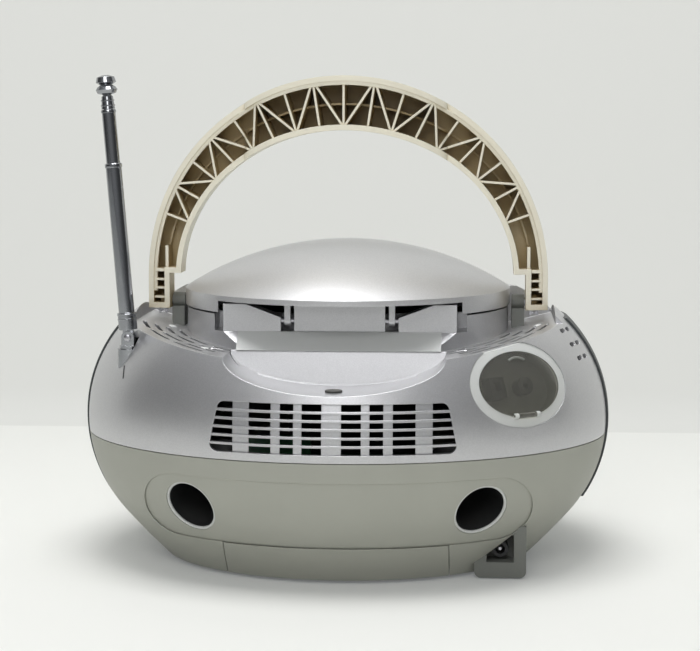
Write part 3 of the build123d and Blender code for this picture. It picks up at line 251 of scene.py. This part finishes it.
def soft_mottle():
    """Slow, faint drift between two near shades, as in moulded or sprayed parts."""
    group, start, end = new_group(
        "soft_mottle",
        [
            ("Shade", "NodeSocketColor", (0.5, 0.5, 0.5, 1)),
            ("Deep Shade", "NodeSocketColor", (0.4, 0.4, 0.4, 1)),
            ("Scale", "NodeSocketFloat", 30.0),
        ],
        [("Color", "NodeSocketColor"), ("Mask", "NodeSocketFloat")],
    )
    nodes, links = group.nodes, group.links
    place = nodes.new("ShaderNodeTexCoord")
    noise = nodes.new("ShaderNodeTexNoise")
    noise.inputs["Detail"].default_value = 4
    noise.inputs["Roughness"].default_value = 0.6
    mix = colour_mix(nodes)
    links.new(place.outputs["Object"], noise.inputs["Vector"])
    links.new(start.outputs["Scale"], noise.inputs["Scale"])
    links.new(noise.outputs["Fac"], mix.inputs["Factor"])
    links.new(start.outputs["Shade"], mix.inputs["A"])
    links.new(start.outputs["Deep Shade"], mix.inputs["B"])
    links.new(mix.outputs["Result"], end.inputs["Color"])
    links.new(noise.outputs["Fac"], end.inputs["Mask"])
    return group


def fine_grain():
    """Close grain of a moulded surface, as a height."""
    group, start, end = new_group(
        "fine_grain",
        [("Scale", "NodeSocketFloat", 1800.0), ("Stretch", "NodeSocketVector", (1, 1, 1))],
        [("Height", "NodeSocketFloat")],
    )
    nodes, links = group.nodes, group.links
    place = nodes.new("ShaderNodeTexCoord")
    stretch = nodes.new("ShaderNodeVectorMath")
    stretch.operation = "MULTIPLY"
    noise = nodes.new("ShaderNodeTexNoise")
    noise.inputs["Detail"].default_value = 3
    cells = nodes.new("ShaderNodeTexVoronoi")
    both = math_node(nodes, "MULTIPLY_ADD", 0.5)
    links.new(place.outputs["Object"], stretch.inputs[0])
    links.new(start.outputs["Stretch"], stretch.inputs[1])
    for texture in (noise, cells):
        links.new(stretch.outputs[0], texture.inputs["Vector"])
        links.new(start.outputs["Scale"], texture.inputs["Scale"])
    links.new(cells.outputs["Distance"], both.inputs[0])
    links.new(noise.outputs["Fac"], both.inputs[2])
    links.new(both.outputs[0], end.inputs["Height"])
    return group


def worn_edge():
    """Rounded corners for the light, and a mask that is 1 on sharp corners."""
    group, start, end = new_group(
        "worn_edge",
        [("Radius", "NodeSocketFloat", 0.0004)],
        [("Normal", "NodeSocketVector"), ("Mask", "NodeSocketFloat")],
    )
    nodes, links = group.nodes, group.links
    bevel = nodes.new("ShaderNodeBevel")
    bevel.samples = 4
    flat = nodes.new("ShaderNodeNewGeometry")
    dot = nodes.new("ShaderNodeVectorMath")
    dot.operation = "DOT_PRODUCT"
    fade = map_range(nodes, 0.99, 0.86, 0.0, 1.0)
    links.new(start.outputs["Radius"], bevel.inputs["Radius"])
    links.new(bevel.outputs[0], dot.inputs[0])
    links.new(flat.outputs["Normal"], dot.inputs[1])
    links.new(dot.outputs["Value"], fade.inputs["Value"])
    links.new(bevel.outputs[0], end.inputs["Normal"])
    links.new(fade.outputs["Result"], end.inputs["Mask"])
    return group


def settled_dust():
    """A faint bloom of dust on faces that look up, broken by noise."""
    group, start, end = new_group(
        "settled_dust", [("Amount", "NodeSocketFloat", 0.1), ("Scale", "NodeSocketFloat", 60.0)],
        [("Mask", "NodeSocketFloat")],
    )
    nodes, links = group.nodes, group.links
    place = nodes.new("ShaderNodeTexCoord")
    split = nodes.new("ShaderNodeSeparateXYZ")
    up = map_range(nodes, 0.2, 0.95, 0.0, 1.0)
    noise = nodes.new("ShaderNodeTexNoise")
    noise.inputs["Detail"].default_value = 5
    first = math_node(nodes, "MULTIPLY")
    second = math_node(nodes, "MULTIPLY")
    links.new(place.outputs["Normal"], split.inputs[0])
    links.new(split.outputs["Z"], up.inputs["Value"])
    links.new(place.outputs["Object"], noise.inputs["Vector"])
    links.new(start.outputs["Scale"], noise.inputs["Scale"])
    links.new(up.outputs["Result"], first.inputs[0])
    links.new(noise.outputs["Fac"], first.inputs[1])
    links.new(first.outputs[0], second.inputs[0])
    links.new(start.outputs["Amount"], second.inputs[1])
    links.new(second.outputs[0], end.inputs["Mask"])
    return group


def paint_flake():
    """Tiny bright flakes in metallic paint."""
    group, start, end = new_group(
        "paint_flake", [("Scale", "NodeSocketFloat", 2600.0)], [("Mask", "NodeSocketFloat")],
    )
    nodes, links = group.nodes, group.links
    place = nodes.new("ShaderNodeTexCoord")
    cells = nodes.new("ShaderNodeTexVoronoi")
    split = nodes.new("ShaderNodeSeparateColor")
    links.new(place.outputs["Object"], cells.inputs["Vector"])
    links.new(start.outputs["Scale"], cells.inputs["Scale"])
    links.new(cells.outputs["Color"], split.inputs[0])
    links.new(split.outputs["Red"], end.inputs["Mask"])
    return group


def crevice_shade():
    """A mask that is 1 deep in corners and cells, where little light comes in."""
    group, start, end = new_group(
        "crevice_shade", [("Reach", "NodeSocketFloat", 0.01)], [("Mask", "NodeSocketFloat")],
    )
    nodes, links = group.nodes, group.links
    painted_hollow_shade = nodes.new("ShaderNodeAmbientOcclusion")
    painted_hollow_shade.samples = 6
    fade = map_range(nodes, 0.85, 0.25, 0.0, 1.0)
    links.new(start.outputs["Reach"], painted_hollow_shade.inputs["Distance"])
    links.new(painted_hollow_shade.outputs["AO"], fade.inputs["Value"])
    links.new(fade.outputs["Result"], end.inputs["Mask"])
    return group


MAKERS = (soft_mottle, fine_grain, worn_edge, settled_dust, paint_flake, crevice_shade)
GROUPS = {make.__name__: make() for make in MAKERS}


def use_group(nodes, name, **values):
    """One use of a shared effect, with its values; an underscore stands for a space."""
    node = nodes.new("ShaderNodeGroup")
    node.node_tree = GROUPS[name]
    for label, value in values.items():
        node.inputs[label.replace("_", " ")].default_value = value
    return node


# Finishes

FLAKE_SCALE = 2400.0
FLAKE_SHADE = linear(250, 250, 252)
DUST_SCALE = 70.0
DUST_SHADE = linear(205, 202, 194)
CREVICE_REACH = 0.02
CREVICE_SHARE = 0.85
WEAR_GAIN = 1.25
CLEAR_IOR = 1.49


def finish_material(
    name, shade, deep, rough, rough_span, metal=0.0, mottle=25.0, grain=1800.0, bump=0.02, stretch=(1, 1, 1),
    edge=0.4, edge_shade=None, edge_gain=0.5, dust=0.0, flake=0.0, painted_hollow_shade=None,
):
    """One solid finish: shade drift, grain and worn corners, with dust, flakes or painted shade in hollows on
    some.
    """
    material = bpy.data.materials.new(name)
    material.use_nodes = True
    nodes, links = material.node_tree.nodes, material.node_tree.links
    shader = nodes["Principled BSDF"]
    shader.inputs["Metallic"].default_value = metal
    drift = use_group(nodes, "soft_mottle", Shade=shade, Deep_Shade=deep, Scale=mottle)
    corner = use_group(nodes, "worn_edge", Radius=edge * MM)
    close = use_group(nodes, "fine_grain", Scale=grain, Stretch=stretch)
    colour = drift.outputs["Color"]
    if flake:
        flakes = use_group(nodes, "paint_flake", Scale=FLAKE_SCALE)
        colour = blend_colour(nodes, links, colour, FLAKE_SHADE, flakes.outputs["Mask"], flake)
    wear = edge_shade or [min(1.0, WEAR_GAIN * c) for c in shade[:3]] + [1.0]
    colour = blend_colour(nodes, links, colour, wear, corner.outputs["Mask"], edge_gain)
    if dust:
        film = use_group(nodes, "settled_dust", Amount=dust, Scale=DUST_SCALE)
        colour = blend_colour(nodes, links, colour, DUST_SHADE, film.outputs["Mask"], 1.0)
    # Painted shade: the hollow colour darkens the corners and cells that the occlusion mask finds, standing
    # in for the shade there.
    if painted_hollow_shade:
        crevice = use_group(nodes, "crevice_shade", Reach=CREVICE_REACH)
        colour = blend_colour(nodes, links, colour, painted_hollow_shade, crevice.outputs["Mask"], CREVICE_SHARE)
    links.new(colour, shader.inputs["Base Color"])
    span = map_range(nodes, 0.0, 1.0, rough - rough_span / 2, rough + rough_span / 2)
    links.new(drift.outputs["Mask"], span.inputs["Value"])
    links.new(span.outputs["Result"], shader.inputs["Roughness"])
    relief = nodes.new("ShaderNodeBump")
    relief.inputs["Strength"].default_value = 0.5
    relief.inputs["Distance"].default_value = bump * MM
    links.new(close.outputs["Height"], relief.inputs["Height"])
    links.new(corner.outputs["Normal"], relief.inputs["Normal"])
    links.new(relief.outputs[0], shader.inputs["Normal"])
    return material


def blend_colour(nodes, links, base, over, mask, share):
    """Lay a shade over the colour so far where the mask says."""
    amount = math_node(nodes, "MULTIPLY", share)
    mix = colour_mix(nodes)
    mix.inputs["B"].default_value = over
    links.new(mask, amount.inputs[0])
    links.new(amount.outputs[0], mix.inputs["Factor"])
    links.new(base, mix.inputs["A"])
    return mix.outputs["Result"]


def clear_material(name, shade, deep, rough, weight):
    """Tinted clear plastic with faint smears; it lets the light in without caustics."""
    material = bpy.data.materials.new(name)
    material.use_nodes = True
    nodes, links = material.node_tree.nodes, material.node_tree.links
    shader = nodes["Principled BSDF"]
    shader.inputs["IOR"].default_value = CLEAR_IOR
    shader.inputs["Transmission Weight"].default_value = weight
    drift = use_group(nodes, "soft_mottle", Shade=shade, Deep_Shade=deep, Scale=40.0)
    links.new(drift.outputs["Color"], shader.inputs["Base Color"])
    span = map_range(nodes, 0.0, 1.0, rough, rough + 0.04)
    links.new(drift.outputs["Mask"], span.inputs["Value"])
    links.new(span.outputs["Result"], shader.inputs["Roughness"])
    path = nodes.new("ShaderNodeLightPath")
    clear = nodes.new("ShaderNodeBsdfTransparent")
    clear.inputs["Color"].default_value = shade
    choose = nodes.new("ShaderNodeMixShader")
    links.new(path.outputs["Is Shadow Ray"], choose.inputs["Fac"])
    links.new(shader.outputs[0], choose.inputs[1])
    links.new(clear.outputs[0], choose.inputs[2])
    links.new(choose.outputs[0], nodes["Material Output"].inputs["Surface"])
    return material


FINISHES = {
    "silver_paint": finish_material(
        "silver_paint", linear(202, 202, 204), linear(193, 193, 195), 0.36, 0.05, metal=0.82, mottle=14.0,
        grain=2600.0, bump=0.012, edge=0.5, edge_gain=0.35, dust=0.05, flake=0.14,
    ),
    "grey_shell": finish_material(
        "grey_shell", linear(172, 173, 164), linear(164, 165, 156), 0.5, 0.08, metal=0.2, mottle=20.0,
        grain=1500.0, bump=0.03, edge=0.5, dust=0.05,
    ),
    "handle_ivory": finish_material(
        "handle_ivory", linear(244, 240, 224), linear(237, 230, 208), 0.45, 0.1, mottle=18.0,
        grain=900.0, bump=0.02, edge=0.5, edge_gain=0.3, edge_shade=linear(240, 236, 218), dust=0.03,
        # The handle's olive hollow colour is painted shade for its deep ribbed cells.
        painted_hollow_shade=linear(176, 152, 100),
    ),
    "pale_trim": finish_material(
        "pale_trim", linear(208, 210, 208), linear(198, 200, 198), 0.38, 0.06, mottle=22.0,
        grain=1600.0, bump=0.012, edge=0.4, dust=0.05,
    ),
    "grille_dark": finish_material(
        "grille_dark", linear(74, 77, 78), linear(60, 63, 64), 0.5, 0.1, metal=0.4, mottle=30.0,
        grain=1400.0, bump=0.03, edge=0.3, dust=0.08,
    ),
    "foot_grey": finish_material(
        "foot_grey", linear(122, 124, 119), linear(110, 112, 107), 0.6, 0.08, mottle=24.0,
        grain=1200.0, bump=0.04, edge=0.4, dust=0.05,
    ),
    "black_plastic": finish_material(
        "black_plastic", linear(34, 35, 36), linear(24, 25, 26), 0.5, 0.12, mottle=40.0,
        grain=1500.0, bump=0.03, edge=0.3, dust=0.05,
    ),
    "speaker_steel": finish_material(
        "speaker_steel", linear(160, 160, 164), linear(140, 140, 144), 0.36, 0.16, metal=0.95, mottle=60.0,
        grain=900.0, bump=0.02, stretch=(1, 1, 6), edge=0.3,
    ),
    "speaker_cone": finish_material(
        "speaker_cone", linear(48, 48, 50), linear(34, 34, 36), 0.85, 0.1, mottle=120.0,
        grain=700.0, bump=0.12, edge=0.3, dust=0.1,
    ),
    "chrome": finish_material(
        "chrome", linear(168, 170, 173), linear(150, 152, 156), 0.09, 0.08, metal=1.0, mottle=90.0,
        grain=600.0, bump=0.002, stretch=(1, 1, 0.1), edge=0.25, edge_gain=0.2,
    ),
    "pin_steel": finish_material(
        "pin_steel", linear(190, 190, 194), linear(168, 168, 172), 0.28, 0.12, metal=1.0, mottle=90.0,
        grain=900.0, bump=0.006, edge=0.25,
    ),
    "smoked": clear_material("smoked", linear(206, 205, 198), linear(198, 197, 190), 0.03, 0.92),
    "board_green": finish_material(
        "board_green", linear(40, 104, 66), linear(30, 86, 54), 0.3, 0.12, mottle=200.0,
        grain=500.0, bump=0.05, edge=0.2,
    ),
    "rubber": finish_material(
        "rubber", linear(66, 66, 64), linear(50, 50, 49), 0.8, 0.1, mottle=80.0,
        grain=900.0, bump=0.05, edge=0.4, dust=0.2,
    ),
}

DRESS = {
    "silver_paint": ["upper_casing", "cd_lid", "hinge_blocks", "rear_grille"],
    "grey_shell": ["lower_casing", "front_panel", "tape_door", "battery_door"],
    "handle_ivory": ["handle"],
    "pale_trim": ["jack_bezel", "volume_knob", "open_button"]
    + [f"play_button_{k}" for k in range(1, 5)] + [f"tape_key_{k}" for k in range(1, 6)],
    "grille_dark": ["speaker_grille_left", "speaker_grille_right"],
    "foot_grey": ["power_inlet", "jack_well", "handle_bracket_left", "handle_bracket_right"],
    "black_plastic": [
        "reflex_port_left", "reflex_port_right", "cd_tray", "cd_turntable", "cd_lid_liner", "cd_clamp",
        "cd_pickup", "link_jacks", "inlet_boss", "battery_box", "tape_well", "tape_spindle_left",
        "tape_spindle_right",
    ],
    "speaker_steel": ["speaker_frame_left", "speaker_frame_right", "transformer"],
    "speaker_cone": ["speaker_cone_left", "speaker_cone_right"],
    "chrome": ["antenna_socket", "antenna_knuckle"] + [f"antenna_tube_{k}" for k in range(1, 4)],
    "pin_steel": ["handle_pins", "hinge_pins", "inlet_pin"],
    "smoked": ["jack_cover", "tape_window", "display_window"],
    "board_green": ["main_board", "display_module"],
    "rubber": ["rubber_pads"],
}


def dress_nodes():
    """Give each carried-over solid its finish."""
    for finish, names in DRESS.items():
        for name in names:
            for slot in NODES[name].material_slots:
                slot.material = FINISHES[finish]


# Small pieces in mesh code

CREASE = math.radians(35)


def tree_of(*names):
    """What rays can hit of these solids."""
    verts, faces = [], []
    for name in names:
        mesh = NODES[name].data
        first = len(verts)
        verts += [v.co.copy() for v in mesh.vertices]
        faces += [[first + i for i in face.vertices] for face in mesh.polygons]
    return BVHTree.FromPolygons(verts, faces)


def hit(tree, start, direction):
    """Where a ray first meets the solids, with the surface normal there."""
    place, normal, _, _ = tree.ray_cast(start, Vector(direction).normalized())
    return place, normal


def laid_on(tree, starts, direction, depth):
    """A path on the solids under a row of starting points, sunk a little in mm."""
    path = []
    for start in starts:
        place, normal = hit(tree, start, direction)
        if place is not None:
            path.append((place - normal * depth * MM, normal))
    return path


def new_piece(name, verts, faces, finish, body, bevel=0.0):
    """A shown piece that moves with a body and takes one of the finishes."""
    mesh = bpy.data.meshes.new(name)
    mesh.from_pydata([tuple(v) for v in verts], [], faces)
    work = bmesh.new()
    work.from_mesh(mesh)
    bmesh.ops.recalc_face_normals(work, faces=work.faces)
    work.to_mesh(mesh)
    work.free()
    mesh.polygons.foreach_set("use_smooth", [True] * len(mesh.polygons))
    mesh.set_sharp_from_angle(angle=CREASE)
    obj = bpy.data.objects.new(name, mesh)
    bpy.context.scene.collection.objects.link(obj)
    mesh.materials.append(FINISHES[finish])
    if bevel:
        soften = obj.modifiers.new("soft_edges", "BEVEL")
        soften.width = bevel * MM
        soften.segments = 2
        soften.limit_method = "ANGLE"
    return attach(obj, body)


def turned(name, profile, at, axis, finish, body, steps=48, ring=False):
    """Radius and height pairs in mm swung round an axis: a capped piece, or a ring from a closed loop."""
    turn = Vector(axis).to_track_quat("Z", "Y")
    verts, faces = [], []
    for radius, height in profile:
        for k in range(steps):
            angle = 2 * math.pi * k / steps
            local = point(radius * math.cos(angle), radius * math.sin(angle), height)
            verts.append(at + turn @ local)
    rows = len(profile)
    for row in range(rows if ring else rows - 1):
        first, second = row * steps, (row + 1) % rows * steps
        for k in range(steps):
            after = (k + 1) % steps
            faces.append((first + k, first + after, second + after, second + k))
    if not ring:
        faces += [tuple(range(steps)), tuple(range((rows - 1) * steps, rows * steps))]
    return new_piece(name, verts, faces, finish, body)


def bead(name, path, radius, finish, body, closed=False, sides=10):
    """A round bead of a given radius in mm along a path of points and surface normals."""
    verts, faces = [], []
    count = len(path)
    for k, (place, normal) in enumerate(path):
        before = path[k - 1][0] if closed or k else place
        after = path[(k + 1) % count][0] if closed or k < count - 1 else place
        across = (after - before).cross(normal).normalized()
        for c in range(sides):
            angle = 2 * math.pi * c / sides
            verts.append(place + (across * math.cos(angle) + normal * math.sin(angle)) * radius * MM)
    for k in range(count if closed else count - 1):
        for c in range(sides):
            first, second = k * sides, (k + 1) % count * sides
            after = (c + 1) % sides
            faces.append((first + c, first + after, second + after, second + c))
    if not closed:
        faces += [tuple(range(sides)), tuple(range((count - 1) * sides, count * sides))]
    return new_piece(name, verts, faces, finish, body)


def prism_faces(count):
    """The faces of a prism between two outlines of so many corners."""
    faces = [tuple(range(count)), tuple(range(count, 2 * count))]
    return faces + [(k, (k + 1) % count, count + (k + 1) % count, count + k) for k in range(count)]


# Details that the solids leave out

SIDES = ((1, "left"), (-1, "right"))
CAST_FROM = 200
DOWN = (0, 0, -1)
FORWARD = (0, -1, 0)

ANTENNA_PIN = point(119.5, 66, 133)
ANTENNA_LEAN = Vector((math.sin(math.radians(4.4)), 0, math.cos(math.radians(4.4))))
FERRULE_RINGS = ((9.6, "antenna_ferrule_ring_1"), (12.2, "antenna_ferrule_ring_2"))
LOWER_COLLAR = ((4.3, 95.4), (4.75, 95.7), (4.85, 96.6), (4.75, 97.6), (4.2, 98.1), (4.0, 98.1))
MIDDLE_COLLAR = ((3.75, 126.0), (4.15, 126.2), (4.2, 127.2), (3.9, 127.9), (3.6, 127.9))
TIP_RINGS = ((129.6, "antenna_tip_ring_1"), (132.4, "antenna_tip_ring_2"))
TIP_FOOT = (3.85, 128.2)
TIP_TAPER = 0.09
RIVET = ((2.2, 0), (2.1, 0.35), (1.6, 0.7), (0.8, 0.9), (0.05, 0.95))
RIVET_OUT = 4.15
SLIT_X = 120.9
SLIT_Y = 73.2

ARCH_Z = 162.0
ARCH_OUT = 118.0
ARCH_WALL_MIDDLE = ARCH_OUT - 1.6
LEG_HEIGHTS = (154, 158)
ARCH_STEP = 3
BAND_OUT = 115.2
BAND_IN = 112.6
BAND_FLOOR_IN = 113.4
BAND_DEEP = 9
CLIP_OUTLINE = (
    (-2.7, 0), (-1.3, 0), (-1.3, 1.1), (1.3, 1.1), (1.3, 0), (2.7, 0),
    (2.7, 3.4), (1.3, 3.4), (1.3, 2.2), (-1.3, 2.2), (-1.3, 3.4), (-2.7, 3.4),
)
CLIP_AT = (109.8, 5.2, 140.6)
CLIP_THICK = 0.9

PORT_AT = (80, 105.231, 43.5)
PORT_OUT = (0.4375, 0.7967, -0.417)
PORT_RIM = 15.3
PORT_STEPS = 64
JACK_AT = point(-101.5, 94.777, 113)
JACK_ACROSS = Vector((0.7882, 0.6154, 0))
JACK_DOWN = Vector((-0.2104, 0.2694, -0.9398))
JACK_OUT = Vector((-0.5783, 0.7407, 0.3418))
LIP_HALF = 5.4
LIP_TOP = -14.6
LIP_BOW = 0.055

# Outline in y and z of a pale sheet that paints a reflection on the slope behind the lid.
BAY_SHEEN_OUTLINE = ((66.0, 136.9), (68.9, 136.9), (79.8, 127.5), (80.1, 127.85), (69.1, 137.15), (66.0, 137.15))
BAY_SHEEN_HALF = 57.0
STUD = ((2.4, -0.6), (2.4, 0.2), (2.0, 0.5), (1.2, 0.7), (0.05, 0.75))
STUDS = ((102.1, 20, "deck_stud_left"), (73.5, 84, "deck_stud_rear"), (-111.7, 22, "deck_stud_right"))


def antenna_ring(name, loop, body):
    """A chrome ring round the leaning antenna."""
    turned(name, loop, ANTENNA_PIN, ANTENNA_LEAN, "chrome", body, ring=True)


def add_antenna_details():
    """Rings on the antenna's ferrule and tip, collars at its joints, and the pivot's rivet."""
    for low, name in FERRULE_RINGS:
        loop = ((5.1, low), (5.45, low + 0.3), (5.45, low + 1.1), (5.1, low + 1.4))
        antenna_ring(name, loop, "antenna_lower")
    antenna_ring("antenna_collar_1", LOWER_COLLAR, "antenna_lower")
    antenna_ring("antenna_collar_2", MIDDLE_COLLAR, "antenna_middle")
    for low, name in TIP_RINGS:
        radius = TIP_FOOT[0] - (low - TIP_FOOT[1]) * TIP_TAPER
        inner, outer = radius - 0.6, radius + 0.3
        loop = ((inner, low), (outer, low + 0.3), (outer, low + 0.9), (inner, low + 1.2))
        antenna_ring(name, loop, "antenna_tip")
    for side, name in ((1, "antenna_rivet_rear"), (-1, "antenna_rivet_front")):
        at = ANTENNA_PIN + point(0, side * RIVET_OUT, 0)
        turned(name, RIVET, at, (0, side, 0), "pin_steel", "antenna_swivel", 32)


def add_antenna_slit_shade():
    """A black bead laid on the shoulder behind the antenna's cup: painted shade standing for the dark slit
    there.
    """
    starts = [point(SLIT_X, SLIT_Y + 0.7 * k, CAST_FROM) for k in range(7)]
    path = laid_on(tree_of("upper_casing"), starts, DOWN, 0.45)
    # Painted shade: a black bead stands for the dark slit.
    bead("antenna_cup_slit_shade", path, 0.75, "black_plastic", "housing")


def band_section(solid, across, up, base):
    """The four corners of the band where a line from a height goes out across and up."""
    outer = point(ARCH_WALL_MIDDLE * across, 120, base + ARCH_WALL_MIDDLE * up)
    rear = hit(solid, outer, FORWARD)[0].y / MM - 0.2
    floor = rear - BAND_DEEP
    corners = ((BAND_OUT, rear), (BAND_IN, rear - 0.3), (BAND_FLOOR_IN, floor), (BAND_OUT, floor))
    return [point(r * across, y, base + r * up) for r, y in corners]


def add_handle_band():
    """The broad smooth edge inside the handle's outer wall, up one leg, over the arch and down the other."""
    solid = tree_of("handle")
    turns = [math.radians(90 - ARCH_STEP * k) for k in range(180 // ARCH_STEP + 1)]
    stations = [band_section(solid, 1, 0, height) for height in LEG_HEIGHTS]
    stations += [band_section(solid, math.sin(turn), math.cos(turn), ARCH_Z) for turn in turns]
    stations += [band_section(solid, -1, 0, height) for height in reversed(LEG_HEIGHTS)]
    verts = [corner for section in stations for corner in section]
    faces = [(0, 1, 2, 3), tuple(len(verts) - c for c in (4, 3, 2, 1))]
    for k in range(len(stations) - 1):
        for c in range(4):
            a, b = 4 * k + c, 4 * k + (c + 1) % 4
            faces.append((a, b, b + 4, a + 4))
    new_piece("handle_outer_band", verts, faces, "handle_ivory", "carry_handle", 0.4)


def add_leg_clips():
    """The bright H-shaped clip under each leg of the handle."""
    x, y, z = CLIP_AT
    for side, word in SIDES:
        verts = [
            point(side * x - across, y + out, z + up)
            for out in (0, CLIP_THICK) for across, up in CLIP_OUTLINE
        ]
        faces = prism_faces(len(CLIP_OUTLINE))
        new_piece("leg_clip_" + word, verts, faces, "pin_steel", "carry_handle", 0.15)


def add_port_rims():
    """The pale rolled rim round each round rear port."""
    x, y, z = PORT_AT
    for side, word in SIDES:
        shell = tree_of("lower_casing", "reflex_port_" + word)
        out = Vector((side * PORT_OUT[0], PORT_OUT[1], PORT_OUT[2])).normalized()
        centre = point(side * x, y, z)
        across = Vector((0, 0, 1)).cross(out).normalized()
        up = out.cross(across)
        starts = []
        for k in range(PORT_STEPS):
            angle = 2 * math.pi * k / PORT_STEPS
            spoke = across * math.cos(angle) + up * math.sin(angle)
            starts.append(centre + spoke * PORT_RIM * MM + out * 30 * MM)
        path = laid_on(shell, starts, -out, 0.35)
        bead("port_rim_" + word, path, 0.85, "pale_trim", "housing", closed=True)


def add_cover_lip():
    """The curved finger lip at the top of the smoked cover."""
    starts = []
    for k in range(13):
        across = -LIP_HALF + LIP_HALF / 6 * k
        down = LIP_TOP + LIP_BOW * across * across
        starts.append(JACK_AT + (JACK_ACROSS * across + JACK_DOWN * down + JACK_OUT * 30) * MM)
    path = laid_on(tree_of("jack_cover"), starts, -JACK_OUT, 0.2)
    bead("jack_cover_lip", path, 0.8, "foot_grey", "jack_flap")


def add_bay_painted_sheen():
    """A pale sheet on the slope that falls from the bay behind the lid to the deck: a painted reflection that
    brightens the slope, not a part of the player.
    """
    verts = [point(side * BAY_SHEEN_HALF, y, z) for side, _ in SIDES for y, z in BAY_SHEEN_OUTLINE]
    new_piece("hinge_bay_painted_sheen", verts, prism_faces(len(BAY_SHEEN_OUTLINE)), "pale_trim", "housing", 0.1)


def add_deck_studs():
    """The low round rests that stand on the deck beside the lid."""
    deck = tree_of("upper_casing")
    for x, y, name in STUDS:
        place, normal = hit(deck, point(x, y, CAST_FROM), DOWN)
        turned(name, STUD, place, normal, "pale_trim", "housing", 32)


add_camera()
sky_world()
add_stage()
add_softbox("ceiling_softbox", (0.05, 0.12, 1.4), (0.8, 0.7), 14)
add_softbox("window_softbox", (0.12, 1.55, 1.2), (0.9, 0.5), 7)
add_softbox("low_softbox", (0.02, 2.0, 0.66), (0.7, 0.22), 1.6)
dress_nodes()
add_antenna_details()
add_antenna_slit_shade()
add_handle_band()
add_leg_clips()
add_port_rims()
add_cover_lip()
# Painted reflection: a pale sheet that brightens the slope behind the lid.
add_bay_painted_sheen()
add_deck_studs()
bpy.context.scene.view_settings.view_transform = "Standard"
